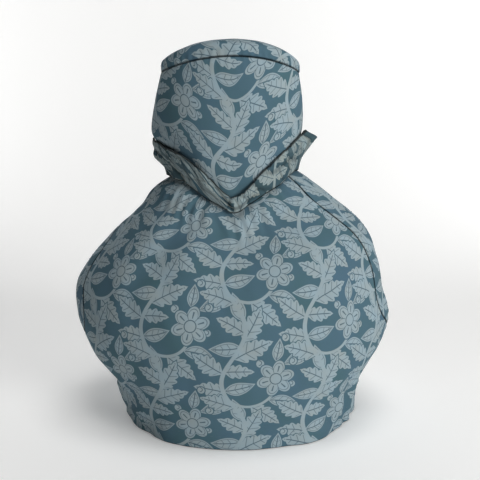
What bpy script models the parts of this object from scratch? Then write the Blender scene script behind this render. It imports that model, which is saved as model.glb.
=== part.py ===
"""A fitted tea cosy in printed cotton, modelled in metres with +Z up and its front towards -Y.

The cosy stands on its hem, with the origin under its middle. Two shaped panels make the body. At each side a
facing is set between them, with a slit in it: one for the spout, one for the handle. A wall in two halves and
a domed crown make the bonnet over the lid, and a gathered collar wraps the neck, where bonnet and body meet.

Every piece is an open sheet, laid on one shared draped form, with a Solidify modifier for its thickness. The
form is worked out from ovals: an angle runs round it from the front (0) to the right (90), the back (180) and
the left (-90), and a share runs up it from 0 to 1.
"""

import math
from collections import namedtuple

import bmesh
import bpy
from mathutils import Vector

# Driving dimensions, in metres and degrees
NECK_HEIGHT = 0.1455        # the neck line at the two sides
NECK_TILT = 0.0020          # how far it lies above that on the right and below it on the left
NECK_DIP = 0.0200           # how far the neck line drops in a V at the front and the back
CROWN_SEAM_SIDE = 0.2025    # the crown's seam at the two sides
CROWN_SEAM_FRONT = 0.2090   # the same seam at the front and the back
TOTAL_HEIGHT = 0.2210
CROWN_FALL_SIDE = 0.0110    # how far the dome falls from its middle to its two ends
CROWN_FALL_FRONT = 0.0040   # the same, to its front and back
CLOTH = 0.0024              # panels, facings, bonnet and crown
COLLAR_CLOTH = 0.0018
FORM_AXIS_X = 0.0006        # how far the form's axis lies right of the middle, for its fuller left side
COLLAR_CLEARANCE = 0.0006   # air between the collar and the bonnet inside it
HEM_STRIP = 0.0040          # height of the upright edge that the cosy stands on
SIDE_GAP = 0.0005           # air at the side seams, where curved cloth draws closer on its inside
FACING_GAP = 0.0006         # air along the edge of a facing
NECK_GAP = 0.0005           # air between body and bonnet, up the neck
TIP_INSET = 0.010           # how far a facing's pointed end stays inside its seam, as a share of the body
EDGE_COLUMN = 1.5           # degrees: a narrow column of faces at each edge keeps two rims parallel

# The sides of the form, as angles from the front; the left is met again on the way round the back
LEFT, RIGHT, LEFT_AGAIN = -90.0, 90.0, 270.0

# Ovals up the form: share of the height, reach to the left and the right, and half of the depth
Section = namedtuple("Section", "share left right depth")

BODY_SECTIONS = (
    Section(0.000, 0.0645, 0.0735, 0.0660),
    Section(0.078, 0.0697, 0.0748, 0.0685),
    Section(0.176, 0.0724, 0.0777, 0.0720),
    Section(0.293, 0.0867, 0.0872, 0.0760),
    Section(0.420, 0.0946, 0.0918, 0.0780),
    Section(0.547, 0.0955, 0.0887, 0.0765),
    Section(0.664, 0.0859, 0.0848, 0.0720),
    Section(0.781, 0.0703, 0.0766, 0.0640),
    Section(0.878, 0.0543, 0.0591, 0.0540),
    Section(0.955, 0.0460, 0.0446, 0.0490),
    Section(1.000, 0.0368, 0.0345, 0.0440),
)

BONNET_SECTIONS = (
    Section(0.00, 0.0368, 0.0345, 0.0440),
    Section(0.10, 0.0385, 0.0360, 0.0450),
    Section(0.25, 0.0434, 0.0383, 0.0440),
    Section(0.45, 0.0486, 0.0403, 0.0405),
    Section(0.75, 0.0465, 0.0397, 0.0350),
    Section(1.00, 0.0426, 0.0378, 0.0290),
)

# Rings of the crown, from its seam to its middle: reach as a share of the seam's, and lift towards the dome
Ring = namedtuple("Ring", "reach lift")

CROWN_RINGS = (
    Ring(1.000, 0.05),
    Ring(1.008, 0.34),
    Ring(0.998, 0.66),
    Ring(0.945, 0.89),
    Ring(0.780, 0.98),
    Ring(0.500, 1.00),
    Ring(0.250, 1.00),
)

# How far each facing reaches from the side towards the front and the back, in degrees, by share of the body
Edge = namedtuple("Edge", "share reach")

SPOUT_EDGE = (
    Edge(0.244, 0.0),
    Edge(0.283, 11.0),
    Edge(0.332, 20.0),
    Edge(0.420, 27.0),
    Edge(0.537, 29.0),
    Edge(0.654, 26.0),
    Edge(0.722, 14.0),
    Edge(0.761, 0.0),
)

HANDLE_EDGE = (
    Edge(0.283, 0.0),
    Edge(0.332, 11.0),
    Edge(0.390, 21.0),
    Edge(0.468, 28.0),
    Edge(0.586, 30.0),
    Edge(0.703, 32.0),
    Edge(0.781, 36.0),
    Edge(0.878, 41.0),
    Edge(1.000, 42.0),
)

# The slits: the side they are in, the rows of the body between which they lie, and half of their width
Slit = namedtuple("Slit", "side edge low high reach")

SPOUT_SLIT = Slit(LEFT, SPOUT_EDGE, low=0.33, high=0.70, reach=15.0)
HANDLE_SLIT = Slit(RIGHT, HANDLE_EDGE, low=0.37, high=0.88, reach=15.0)

# Folds of the body: where the middle lies, the lean from upright, half of the length and the width, and the
# depth of the trough, or of a ridge where it is negative
Fold = namedtuple("Fold", "angle height lean length width depth")

BODY_FOLDS = (
    Fold(-32.0, 0.108, 12.0, 0.024, 0.0070, 0.0024),
    Fold(-19.0, 0.104, 4.0, 0.022, 0.0080, -0.0012),
    Fold(28.0, 0.106, -14.0, 0.020, 0.0090, 0.0012),
    Fold(-62.0, 0.013, 62.0, 0.014, 0.0050, 0.0026),
    Fold(-44.0, 0.007, 50.0, 0.012, 0.0055, 0.0018),
    Fold(-78.0, 0.028, 70.0, 0.012, 0.0060, 0.0016),
    Fold(46.0, 0.012, -35.0, 0.012, 0.0050, 0.0022),
    Fold(60.0, 0.015, -15.0, 0.013, 0.0048, 0.0028),
    Fold(74.0, 0.013, 10.0, 0.013, 0.0050, 0.0030),
    Fold(84.0, 0.040, 78.0, 0.012, 0.0042, 0.0020),
    Fold(80.0, 0.027, 84.0, 0.013, 0.0045, 0.0024),
    Fold(-140.0, 0.100, 10.0, 0.022, 0.0080, 0.0018),
    Fold(150.0, 0.016, 30.0, 0.014, 0.0065, 0.0020),
)

# Where the collar ends above the neck line, as a share of the bonnet, and how far its top stands out there
CollarTop = namedtuple("CollarTop", "angle share flare")

COLLAR_TOPS = (
    CollarTop(-180.0, 0.105, 0.0004),
    CollarTop(-140.0, 0.220, 0.0006),
    CollarTop(-90.0, 0.360, 0.0010),
    CollarTop(-70.0, 0.320, 0.0008),
    CollarTop(-50.0, 0.260, 0.0008),
    CollarTop(-25.0, 0.175, 0.0006),
    CollarTop(0.0, 0.105, 0.0004),
    CollarTop(25.0, 0.190, 0.0006),
    CollarTop(50.0, 0.310, 0.0010),
    CollarTop(76.0, 0.410, 0.0056),
    CollarTop(98.0, 0.390, 0.0048),
    CollarTop(140.0, 0.220, 0.0008),
    CollarTop(180.0, 0.105, 0.0004),
)

# Gathers of the collar: how many go round, how far the sideways drift goes, and how deep they are
GATHERS = 17
GATHER_DRIFTS = 3
GATHER_DRIFT = 1.3
GATHER_DEPTH = 0.0011

# Grid sizes of the sheets
BODY_ROWS = 23
BODY_ROW_CROWDING = 0.25    # rows lie closer together towards the hem
FRONT_COLUMNS = 30
BACK_COLUMNS = 18
COLLAR_COLUMNS = 72
COLLAR_ROWS = 3
BONNET_ROWS = 8
BONNET_COLUMNS = 14
CROWN_COLUMNS = 28

# Cloth colours: name, base colour and roughness
ClothColour = namedtuple("ClothColour", "name rgb roughness")

PRINT = ClothColour("printed_cotton", (0.105, 0.180, 0.225), 0.9)
SHADED_PRINT = ClothColour("printed_cotton_shaded", (0.085, 0.140, 0.165), 0.9)
COLLAR_PRINT = ClothColour("printed_cotton_gathered", (0.130, 0.175, 0.190), 0.9)


def clear_scene():
    """Remove every object of the scene."""
    for thing in list(bpy.data.objects):
        bpy.data.objects.remove(thing, do_unlink=True)


def smooth_columns(table, key):
    """Values of a table's other columns at a key of its first column, on a smooth curve through its rows."""
    keys = [row[0] for row in table]
    key = min(max(key, keys[0]), keys[-1])
    last = len(table) - 2
    start = min(max(sum(1 for k in keys if k <= key) - 1, 0), last)
    span = keys[start + 1] - keys[start]
    t = (key - keys[start]) / span

    def slope(i, column):
        low, high = max(i - 1, 0), min(i + 1, len(table) - 1)
        return (table[high][column] - table[low][column]) / (keys[high] - keys[low])

    values = []
    for column in range(1, len(table[0])):
        a, b = table[start][column], table[start + 1][column]
        leave, arrive = slope(start, column) * span, slope(start + 1, column) * span
        values.append(
            (2 * t**3 - 3 * t**2 + 1) * a
            + (t**3 - 2 * t**2 + t) * leave
            + (3 * t**2 - 2 * t**3) * b
            + (t**3 - t**2) * arrive
        )
    return values


def oval(left, right, depth, angle):
    """Plan of a point on a lopsided oval, and the direction that points out of it there."""
    turn = math.radians(angle)
    sine, cosine = math.sin(turn), math.cos(turn)
    width = (left + right) / 2 + (right - left) / 2 * sine
    outward = Vector((sine / width, -cosine / depth, 0.0)).normalized()
    return Vector((FORM_AXIS_X + width * sine, -depth * cosine, 0.0)), outward


def neck_line(angle):
    """Height of the neck line, which drops in a rounded V at the front and the back."""
    rounding = 0.08
    sine = math.sin(math.radians(angle))
    rise = (math.hypot(sine, rounding) - rounding) / (math.hypot(1.0, rounding) - rounding)
    return NECK_HEIGHT + NECK_TILT * sine - NECK_DIP * (1 - rise)


def crown_line(angle):
    """Height of the crown's seam, which arches over the front and the back."""
    return CROWN_SEAM_SIDE + (CROWN_SEAM_FRONT - CROWN_SEAM_SIDE) * math.cos(math.radians(angle)) ** 2


def fold_offset(angle, height, radius):
    """How far the folds push the body's cloth outwards at a point."""
    offset = 0.0
    for fold in BODY_FOLDS:
        turn = (angle - fold.angle + 180.0) % 360.0 - 180.0
        along_body, up = math.radians(turn) * radius, height - fold.height
        lean = math.radians(fold.lean)
        across = along_body * math.cos(lean) - up * math.sin(lean)
        along = along_body * math.sin(lean) + up * math.cos(lean)
        offset -= fold.depth * math.exp(-((across / fold.width) ** 2) - (along / fold.length) ** 2)
    return offset


def body_point(angle, share):
    """A point on the outside of the body, from the hem (share 0) to the neck line (share 1)."""
    draped = max(share, HEM_STRIP / NECK_HEIGHT)
    left, right, depth = smooth_columns(BODY_SECTIONS, draped)
    plan, outward = oval(left, right, depth, angle)
    top = neck_line(angle)
    point = plan + outward * fold_offset(angle, draped * top, plan.length)
    point.z = share * top
    return point


def bonnet_point(angle, share, stand=0.0):
    """A point on the outside of the bonnet's wall, or standing out from it, from the neck to the crown."""
    left, right, depth = smooth_columns(BONNET_SECTIONS, share)
    plan, outward = oval(left, right, depth, angle)
    point = plan + outward * stand
    neck = neck_line(angle)
    point.z = neck + share * (crown_line(angle) - neck)
    return point


def collar_point(angle, share):
    """A point on the outside of the gathered collar, from its foot (share 0) to its top edge (share 1)."""
    top, flare = smooth_columns(COLLAR_TOPS, (angle + 180.0) % 360.0 - 180.0)
    drift = GATHER_DRIFT * math.sin(math.radians(GATHER_DRIFTS * angle))
    wave = 0.5 + 0.5 * math.sin(math.radians(GATHERS * angle) + drift)
    stand = COLLAR_CLOTH + COLLAR_CLEARANCE + GATHER_DEPTH * wave + flare * share**1.5
    return bonnet_point(angle, top * share, stand)


def crown_point(angle, ring):
    """A point on the outside of the crown, on one of its rings."""
    left, right, depth = smooth_columns(BONNET_SECTIONS, 1.0)
    plan, _ = oval(left, right, depth, angle)
    middle = Vector((FORM_AXIS_X + (right - left) / 2, 0.0, 0.0))
    point = middle + (plan - middle) * ring.reach
    side, front = (point.x - middle.x) * 2 / (left + right), point.y / depth
    dome = TOTAL_HEIGHT - CROWN_FALL_SIDE * side**2 - CROWN_FALL_FRONT * front**2
    seam = crown_line(angle)
    point.z = seam + (dome - seam) * ring.lift
    return point


def body_shares():
    """Shares of the body's height at which its rows lie."""
    rows = [0.0, HEM_STRIP / NECK_HEIGHT]
    for i in range(1, BODY_ROWS - 1):
        even = i / (BODY_ROWS - 2)
        crowded = even * (1 - BODY_ROW_CROWDING) + even**2 * BODY_ROW_CROWDING
        rows.append(rows[1] + (1 - rows[1]) * crowded)
    return rows


def edge_reach(table, share):
    """How far a facing reaches from the side at a share of the body: nothing beyond its ends."""
    if not table[0].share < share <= table[-1].share:
        return 0.0
    return max(smooth_columns(table, share)[0], 0.0)


def gap_angle(gap, depth):
    """Angle that a gap takes up at a side of the form, where half of the form is as deep as stated."""
    return math.degrees(gap / depth)


def facing_inset(table, share):
    """Angle between a facing's edge and its panel's, wider where the edge slants so that the gap is even."""
    step = 0.01
    rise = edge_reach(table, share + step) - edge_reach(table, share - step)
    depth = smooth_columns(BODY_SECTIONS, share)[2]
    slant = math.radians(rise) * depth / (2 * step * NECK_HEIGHT)
    return gap_angle(FACING_GAP, depth) * math.hypot(1.0, slant)


def spread(start, end, columns):
    """Angles of a row of points, even but for a narrow column at each end."""
    inner_start, inner_end = start + EDGE_COLUMN, end - EDGE_COLUMN
    inner = [inner_start + (inner_end - inner_start) * i / columns for i in range(columns + 1)]
    return [start, *inner, end]


def panel_grid(start_side, start_edge, end_side, end_edge, columns):
    """Rows of points of a body panel between two sides, whose edges follow the seams and the facings."""
    grid = []
    for share in body_shares():
        seam = gap_angle(SIDE_GAP / 2, smooth_columns(BODY_SECTIONS, share)[2])
        start = start_side + max(edge_reach(start_edge, share), seam)
        end = end_side - max(edge_reach(end_edge, share), seam)
        grid.append([body_point(angle, share) for angle in spread(start, end, columns)])
    return grid


def facing_grids(slit):
    """Two strips of points, one on each side of a slit, which meet above and below it."""
    low_tip, high_tip = slit.edge[0].share + TIP_INSET, slit.edge[-1].share
    if slit.edge[-1].reach == 0.0:
        high_tip -= TIP_INSET
    between = [share for share in body_shares() if low_tip + TIP_INSET < share < high_tip - TIP_INSET]
    rows = [low_tip, *between, high_tip]
    inside = [share for share in rows if slit.low < share < slit.high]
    middle, half = (inside[0] + inside[-1]) / 2, (inside[-1] - inside[0]) / 2
    before, after = [], []
    for share in rows:
        is_tip = share in (rows[0], rows[-1]) and share < 1.0
        outer = 0.0 if is_tip else edge_reach(slit.edge, share) - facing_inset(slit.edge, share)
        along = (share - middle) / half
        inner = slit.reach * (1 - along**2) if abs(along) < 1 else 0.0
        half_way = (outer + inner) / 2
        reaches = [outer, max(outer - EDGE_COLUMN, half_way), half_way, inner]
        before.append([body_point(slit.side - reach, share) for reach in reaches])
        after.append([body_point(slit.side + reach, share) for reach in reversed(reaches)])
    return [before, after]


def wall_grid(start_side, end_side):
    """Rows of points of one half of the bonnet's wall, from one side of the cosy to the other."""
    low = NECK_GAP / (CROWN_SEAM_SIDE - NECK_HEIGHT)
    grid = []
    for row in range(BONNET_ROWS + 1):
        share = low + (1 - low) * row / BONNET_ROWS
        seam = gap_angle(SIDE_GAP / 2, smooth_columns(BONNET_SECTIONS, share)[2])
        angles = spread(start_side + seam, end_side - seam, BONNET_COLUMNS)
        grid.append([bonnet_point(angle, share) for angle in angles])
    return grid


def collar_grid():
    """Rows of points of the collar, all the way round."""
    return [
        [collar_point(360.0 * i / COLLAR_COLUMNS, row / COLLAR_ROWS) for i in range(COLLAR_COLUMNS + 1)]
        for row in range(COLLAR_ROWS + 1)
    ]


def crown_grid():
    """Rings of points of the crown, from its seam to its middle."""
    angles = [360.0 * i / CROWN_COLUMNS for i in range(CROWN_COLUMNS + 1)]
    grid = [[crown_point(angle, ring) for angle in angles] for ring in CROWN_RINGS]
    grid.append([crown_point(0.0, Ring(0.0, 1.0))] * (CROWN_COLUMNS + 1))
    return grid


def cloth_material(colour):
    """The matt printed cloth of a piece."""
    material = bpy.data.materials.new(colour.name)
    material.use_nodes = True
    shader = material.node_tree.nodes["Principled BSDF"]
    shader.inputs["Base Color"].default_value = (*colour.rgb, 1.0)
    shader.inputs["Roughness"].default_value = colour.roughness
    shader.inputs["Metallic"].default_value = 0.0
    return material


def sheet(name, grids, thickness, material, collection):
    """An object made of one or more grids of points that share their common points, with its thickness."""
    cloth = bmesh.new()
    known = {}

    def vertex(point):
        key = tuple(round(value, 7) for value in point)
        if key not in known:
            known[key] = cloth.verts.new(point)
        return known[key]

    for grid in grids:
        for low, high in zip(grid, grid[1:]):
            for i in range(len(low) - 1):
                corners = [vertex(p) for p in (low[i], low[i + 1], high[i + 1], high[i])]
                face = list(dict.fromkeys(corners))
                if len(face) > 2:
                    cloth.faces.new(face)
    mesh = bpy.data.meshes.new(name)
    cloth.to_mesh(mesh)
    cloth.free()
    mesh.materials.append(material)
    mesh.shade_smooth()
    piece = bpy.data.objects.new(name, mesh)
    collection.objects.link(piece)
    thicken = piece.modifiers.new("cloth_thickness", "SOLIDIFY")
    thicken.thickness = thickness
    thicken.offset = -1.0
    return piece


def build():
    """Make every piece of the cosy."""
    clear_scene()
    collection = bpy.data.collections.new("tea_cosy")
    bpy.context.scene.collection.children.link(collection)
    plain, shaded, gathered = (cloth_material(c) for c in (PRINT, SHADED_PRINT, COLLAR_PRINT))

    front = panel_grid(LEFT, SPOUT_EDGE, RIGHT, HANDLE_EDGE, FRONT_COLUMNS)
    back = panel_grid(RIGHT, HANDLE_EDGE, LEFT_AGAIN, SPOUT_EDGE, BACK_COLUMNS)
    sheet("body_front", [front], CLOTH, plain, collection)
    sheet("body_back", [back], CLOTH, plain, collection)
    sheet("spout_facing", facing_grids(SPOUT_SLIT), CLOTH, shaded, collection)
    sheet("handle_facing", facing_grids(HANDLE_SLIT), CLOTH, shaded, collection)
    sheet("neck_collar", [collar_grid()], COLLAR_CLOTH, gathered, collection)
    sheet("bonnet_front", [wall_grid(LEFT, RIGHT)], CLOTH, plain, collection)
    sheet("bonnet_back", [wall_grid(RIGHT, LEFT_AGAIN)], CLOTH, plain, collection)
    sheet("bonnet_crown", [crown_grid()], CLOTH, shaded, collection)


build()
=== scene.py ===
"""A fitted tea cosy in printed cotton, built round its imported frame.

All the cloth lies on one draped form. An angle runs round it from the front (0) to the right (90), the
back (180) and the left (-90), and a share runs up it from 0 to 1. Each cut piece is a grid of points on
that form, sewn at its common points, given its thickness and rolled over at its raw edges. Its UV map
holds its place on the flat cloth, in metres, so the print and the weave follow the cloth.
"""

import logging
import math
import sys
from collections.abc import Callable, Sequence
from dataclasses import dataclass, field
from enum import Enum
from typing import NamedTuple, Union

import bpy
import numpy as np
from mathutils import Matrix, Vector


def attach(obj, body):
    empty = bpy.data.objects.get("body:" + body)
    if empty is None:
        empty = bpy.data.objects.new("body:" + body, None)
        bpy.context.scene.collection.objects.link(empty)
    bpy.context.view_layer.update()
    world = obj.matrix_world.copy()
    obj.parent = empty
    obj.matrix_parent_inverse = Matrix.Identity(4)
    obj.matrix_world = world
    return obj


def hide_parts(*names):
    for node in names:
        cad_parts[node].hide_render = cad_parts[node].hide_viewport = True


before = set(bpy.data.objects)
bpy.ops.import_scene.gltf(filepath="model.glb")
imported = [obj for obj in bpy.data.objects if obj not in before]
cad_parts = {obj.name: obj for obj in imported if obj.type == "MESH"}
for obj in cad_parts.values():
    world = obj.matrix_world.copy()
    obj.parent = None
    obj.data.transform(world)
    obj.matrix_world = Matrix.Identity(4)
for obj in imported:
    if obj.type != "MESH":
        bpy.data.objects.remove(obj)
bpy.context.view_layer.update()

log = logging.getLogger("tea_cosy")

Array = np.ndarray
Surface = Callable[[Array, Array], Array]
Point = tuple[float, float, float]
Colour = tuple[float, float, float]
BODY_NAME = "root"
MM = 0.001
CLOTH_MAP = "cloth"
WRONG_SIDE = "wrong_side"
EDGE_DISTANCE = "edge_distance"
# a mesh attribute of painted shade in the hollows of the collar's folds
CREASE_SHADE_MASK = "crease_shade_mask"
OUTWARD = "outward"
EDGE_REACH = 0.012


class Side(Enum):
    """The sides of the form, as angles from the front."""

    FRONT = 0.0
    RIGHT = 90.0
    BACK = 180.0
    LEFT = -90.0
    LEFT_AGAIN = 270.0


# ---------------------------------------- tables of the form


class Section(NamedTuple):
    """An oval of the form: how far it reaches to the left and the right, and half of its depth."""

    share: float
    left: float
    right: float
    depth: float


class Reach(NamedTuple):
    """How far a facing reaches from its side towards the front and the back, in degrees."""

    share: float
    reach: float


Reaches = tuple[Reach, ...]


class Fold(NamedTuple):
    """A fold of the cloth: its middle, its lean from upright, half of its length and width, its depth."""

    angle: float
    height: float
    lean: float
    length: float
    width: float
    depth: float


class Pucker(NamedTuple):
    """A stretch of a side seam that puckers: its side, the heights of its ends, and its strength."""

    side: Side
    low: float
    high: float
    strength: float


class Ring(NamedTuple):
    """A ring of the crown, by its number: its reach as a share of the seam's, and its lift to the dome."""

    number: float
    reach: float
    lift: float


class CollarTop(NamedTuple):
    """Where the collar ends above the neck line, as a share of the bonnet, and how crumpled it is there."""

    angle: float
    share: float
    crumpled: float


BODY_SECTIONS = (
    Section(0.000, 0.0645, 0.0735, 0.0660),
    Section(0.078, 0.0697, 0.0748, 0.0685),
    Section(0.176, 0.0730, 0.0777, 0.0720),
    Section(0.293, 0.0867, 0.0872, 0.0760),
    Section(0.420, 0.0946, 0.0918, 0.0780),
    Section(0.547, 0.0955, 0.0887, 0.0765),
    Section(0.664, 0.0859, 0.0848, 0.0720),
    Section(0.781, 0.0703, 0.0766, 0.0640),
    Section(0.878, 0.0543, 0.0591, 0.0540),
    Section(0.955, 0.0460, 0.0446, 0.0490),
    Section(1.000, 0.0368, 0.0345, 0.0440),
)

BONNET_SECTIONS = (
    Section(0.00, 0.0368, 0.0345, 0.0440),
    Section(0.10, 0.0380, 0.0352, 0.0450),
    Section(0.25, 0.0424, 0.0372, 0.0440),
    Section(0.45, 0.0486, 0.0403, 0.0405),
    Section(0.75, 0.0465, 0.0397, 0.0350),
    Section(1.00, 0.0426, 0.0378, 0.0290),
)

CROWN_RINGS = (
    Ring(0.0, 1.000, 0.001),
    Ring(1.0, 1.004, 0.32),
    Ring(2.0, 1.006, 0.66),
    Ring(3.0, 0.966, 0.89),
    Ring(4.0, 0.780, 0.98),
    Ring(5.0, 0.500, 1.00),
    Ring(6.0, 0.250, 1.00),
    Ring(7.0, 0.000, 1.00),
)

SPOUT_REACHES = (
    Reach(0.300, 0.0),
    Reach(0.325, 7.0),
    Reach(0.350, 13.5),
    Reach(0.398, 23.5),
    Reach(0.478, 28.0),
    Reach(0.537, 28.0),
    Reach(0.600, 23.8),
    Reach(0.660, 20.5),
    Reach(0.722, 18.0),
    Reach(0.761, 10.0),
    Reach(0.790, 0.0),
)

HANDLE_REACHES = (
    Reach(0.330, 0.0),
    Reach(0.365, 9.0),
    Reach(0.400, 16.0),
    Reach(0.445, 21.8),
    Reach(0.500, 25.0),
    Reach(0.600, 27.0),
    Reach(0.700, 27.5),
    Reach(0.781, 30.0),
    Reach(0.878, 32.2),
    Reach(0.955, 32.6),
    Reach(1.000, 31.0),
)

COLLAR_TOPS = (
    CollarTop(-180.0, 0.105, 0.85),
    CollarTop(-140.0, 0.220, 0.90),
    CollarTop(-90.0, 0.355, 1.00),
    CollarTop(-72.0, 0.325, 0.95),
    CollarTop(-55.0, 0.268, 0.50),
    CollarTop(-38.0, 0.218, 0.32),
    CollarTop(-20.0, 0.160, 0.60),
    CollarTop(0.0, 0.105, 0.95),
    CollarTop(22.0, 0.182, 0.55),
    CollarTop(50.0, 0.300, 0.42),
    CollarTop(72.0, 0.375, 0.42),
    CollarTop(90.0, 0.405, 0.48),
    CollarTop(105.0, 0.370, 0.60),
    CollarTop(140.0, 0.220, 0.85),
    CollarTop(180.0, 0.105, 0.85),
)

LARGE_FOLDS = (
    Fold(-32.0, 0.108, 12.0, 0.024, 0.0070, 0.0024),
    Fold(-19.0, 0.104, 4.0, 0.022, 0.0080, -0.0012),
    Fold(28.0, 0.106, -14.0, 0.020, 0.0090, 0.0012),
    Fold(-62.0, 0.013, 62.0, 0.014, 0.0050, 0.0026),
    Fold(-44.0, 0.007, 50.0, 0.012, 0.0055, 0.0018),
    Fold(-78.0, 0.031, 70.0, 0.012, 0.0060, 0.0016),
    Fold(46.0, 0.012, -35.0, 0.012, 0.0050, 0.0022),
    Fold(60.0, 0.015, -15.0, 0.013, 0.0048, 0.0028),
    Fold(74.0, 0.013, 10.0, 0.013, 0.0050, 0.0030),
    Fold(84.0, 0.040, 78.0, 0.012, 0.0042, 0.0020),
    Fold(80.0, 0.027, 84.0, 0.013, 0.0045, 0.0024),
    Fold(-140.0, 0.100, 10.0, 0.022, 0.0080, 0.0018),
    Fold(150.0, 0.016, 30.0, 0.014, 0.0065, 0.0020),
)

SMALL_FOLDS = (
    Fold(-69.0, 0.020, 48.0, 0.010, 0.0030, 0.0009),
    Fold(-55.0, 0.018, 66.0, 0.011, 0.0028, -0.0008),
    Fold(-50.0, 0.022, 40.0, 0.009, 0.0030, 0.0006),
    Fold(-36.0, 0.010, 20.0, 0.010, 0.0032, 0.0007),
    Fold(-84.0, 0.036, 80.0, 0.010, 0.0030, 0.0008),
    Fold(-80.0, 0.018, 76.0, 0.010, 0.0032, -0.0008),
    Fold(52.0, 0.020, -30.0, 0.011, 0.0028, -0.0009),
    Fold(56.0, 0.009, 24.0, 0.009, 0.0026, 0.0008),
    Fold(66.0, 0.021, -5.0, 0.012, 0.0028, -0.0010),
    Fold(70.0, 0.008, 38.0, 0.010, 0.0028, -0.0007),
    Fold(79.0, 0.020, 24.0, 0.011, 0.0028, -0.0009),
    Fold(82.0, 0.034, 80.0, 0.010, 0.0026, -0.0007),
    Fold(86.0, 0.047, 74.0, 0.010, 0.0028, 0.0009),
    Fold(87.0, 0.054, 80.0, 0.009, 0.0026, -0.0006),
    Fold(-24.0, 0.116, 16.0, 0.012, 0.0034, 0.0007),
    Fold(-12.0, 0.112, 6.0, 0.012, 0.0040, 0.0006),
    Fold(-48.0, 0.120, 28.0, 0.014, 0.0042, 0.0008),
    Fold(14.0, 0.113, -8.0, 0.013, 0.0040, 0.0006),
    Fold(44.0, 0.122, -30.0, 0.014, 0.0044, 0.0008),
    Fold(-63.0, 0.100, 22.0, 0.020, 0.0060, 0.0008),
    Fold(36.0, 0.004, 0.0, 0.014, 0.0120, -0.0022),
    Fold(-38.0, 0.003, 0.0, 0.008, 0.0090, -0.0010),
    Fold(8.0, 0.012, 70.0, 0.012, 0.0040, 0.0006),
    Fold(24.0, 0.008, 30.0, 0.010, 0.0040, 0.0006),
    Fold(130.0, 0.108, -12.0, 0.022, 0.0070, 0.0014),
    Fold(170.0, 0.106, 6.0, 0.020, 0.0070, 0.0010),
    Fold(-160.0, 0.014, -24.0, 0.014, 0.0060, 0.0014),
    Fold(112.0, 0.018, 20.0, 0.014, 0.0055, 0.0016),
    Fold(-115.0, 0.016, -34.0, 0.014, 0.0055, 0.0016),
)


def smooth_columns(table: Sequence[tuple[float, ...]], key: Array) -> Array:
    """Reads a table's other columns at keys of its first one, on smooth curves through its rows.

    Args:
        table: Rows whose first column rises.
        key: Where to read it.

    Returns:
        One array of values for each of the other columns.
    """
    rows = np.array(table, dtype=float)
    keys, values = rows[:, 0], rows[:, 1:]
    ends = np.clip(np.arange(len(keys))[:, None] + (-1, 1), 0, len(keys) - 1)
    slopes = (values[ends[:, 1]] - values[ends[:, 0]]) / (keys[ends[:, 1]] - keys[ends[:, 0]])[:, None]
    key = np.clip(np.asarray(key, dtype=float), keys[0], keys[-1])
    start = np.clip(np.searchsorted(keys, key, side="right") - 1, 0, len(keys) - 2)
    span = keys[start + 1] - keys[start]
    t = ((key - keys[start]) / span)[..., None]
    span = span[..., None]
    read = (
        (2 * t**3 - 3 * t**2 + 1) * values[start]
        + (t**3 - 2 * t**2 + t) * slopes[start] * span
        + (3 * t**2 - 2 * t**3) * values[start + 1]
        + (t**3 - t**2) * slopes[start + 1] * span
    )
    return np.moveaxis(read, -1, 0)


def smooth_step(low: float, high: float, value: Array) -> Array:
    """Rises smoothly from 0 at low to 1 at high."""
    t = np.clip((value - low) / (high - low), 0.0, 1.0)
    return t * t * (3 - 2 * t)


def turn_from(start: float, angle: Array) -> Array:
    """Angles counted from a start, the short way round, in degrees."""
    return (angle - start + 180.0) % 360.0 - 180.0


def linked(name: str, data: bpy.types.ID) -> bpy.types.Object:
    """Makes an object of some data and links it to the scene.

    Args:
        name: The object's name.
        data: Its mesh, lamp or camera.

    Returns:
        The object.
    """
    thing = bpy.data.objects.new(name, data)
    bpy.context.scene.collection.objects.link(thing)
    return thing


class Crumple:
    """Seeded uneven waves through space, the same on every run and without a seam."""

    spread: tuple[float, float] = (0.7, 1.5)
    ridge_power: float = 1.5

    def __init__(self, seed: int, wavelength: float, waves: int = 22) -> None:
        """Draws the waves.

        Args:
            seed: Seed of the draw.
            wavelength: Middle of the wavelengths, in metres.
            waves: How many there are.
        """
        dice = np.random.default_rng(seed)
        directions = dice.normal(size=(waves, 3))
        directions /= np.linalg.norm(directions, axis=1)[:, None]
        lengths = wavelength * dice.uniform(*self.spread, size=waves)
        self.turns = directions * (2 * math.pi / lengths)[:, None]
        self.starts = dice.uniform(0, 2 * math.pi, size=waves)
        self.scale = 1 / math.sqrt(waves / 2)

    def soft(self, points: Array) -> Array:
        """Soft rises and falls, mostly between -2 and 2."""
        return np.sin(points @ self.turns.T + self.starts).sum(axis=-1) * self.scale

    def creased(self, points: Array, width: float) -> Array:
        """Sharp ridges between 0 and 1 along winding lines."""
        return np.maximum(0.0, 1 - np.abs(self.soft(points)) / width) ** self.ridge_power


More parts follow.
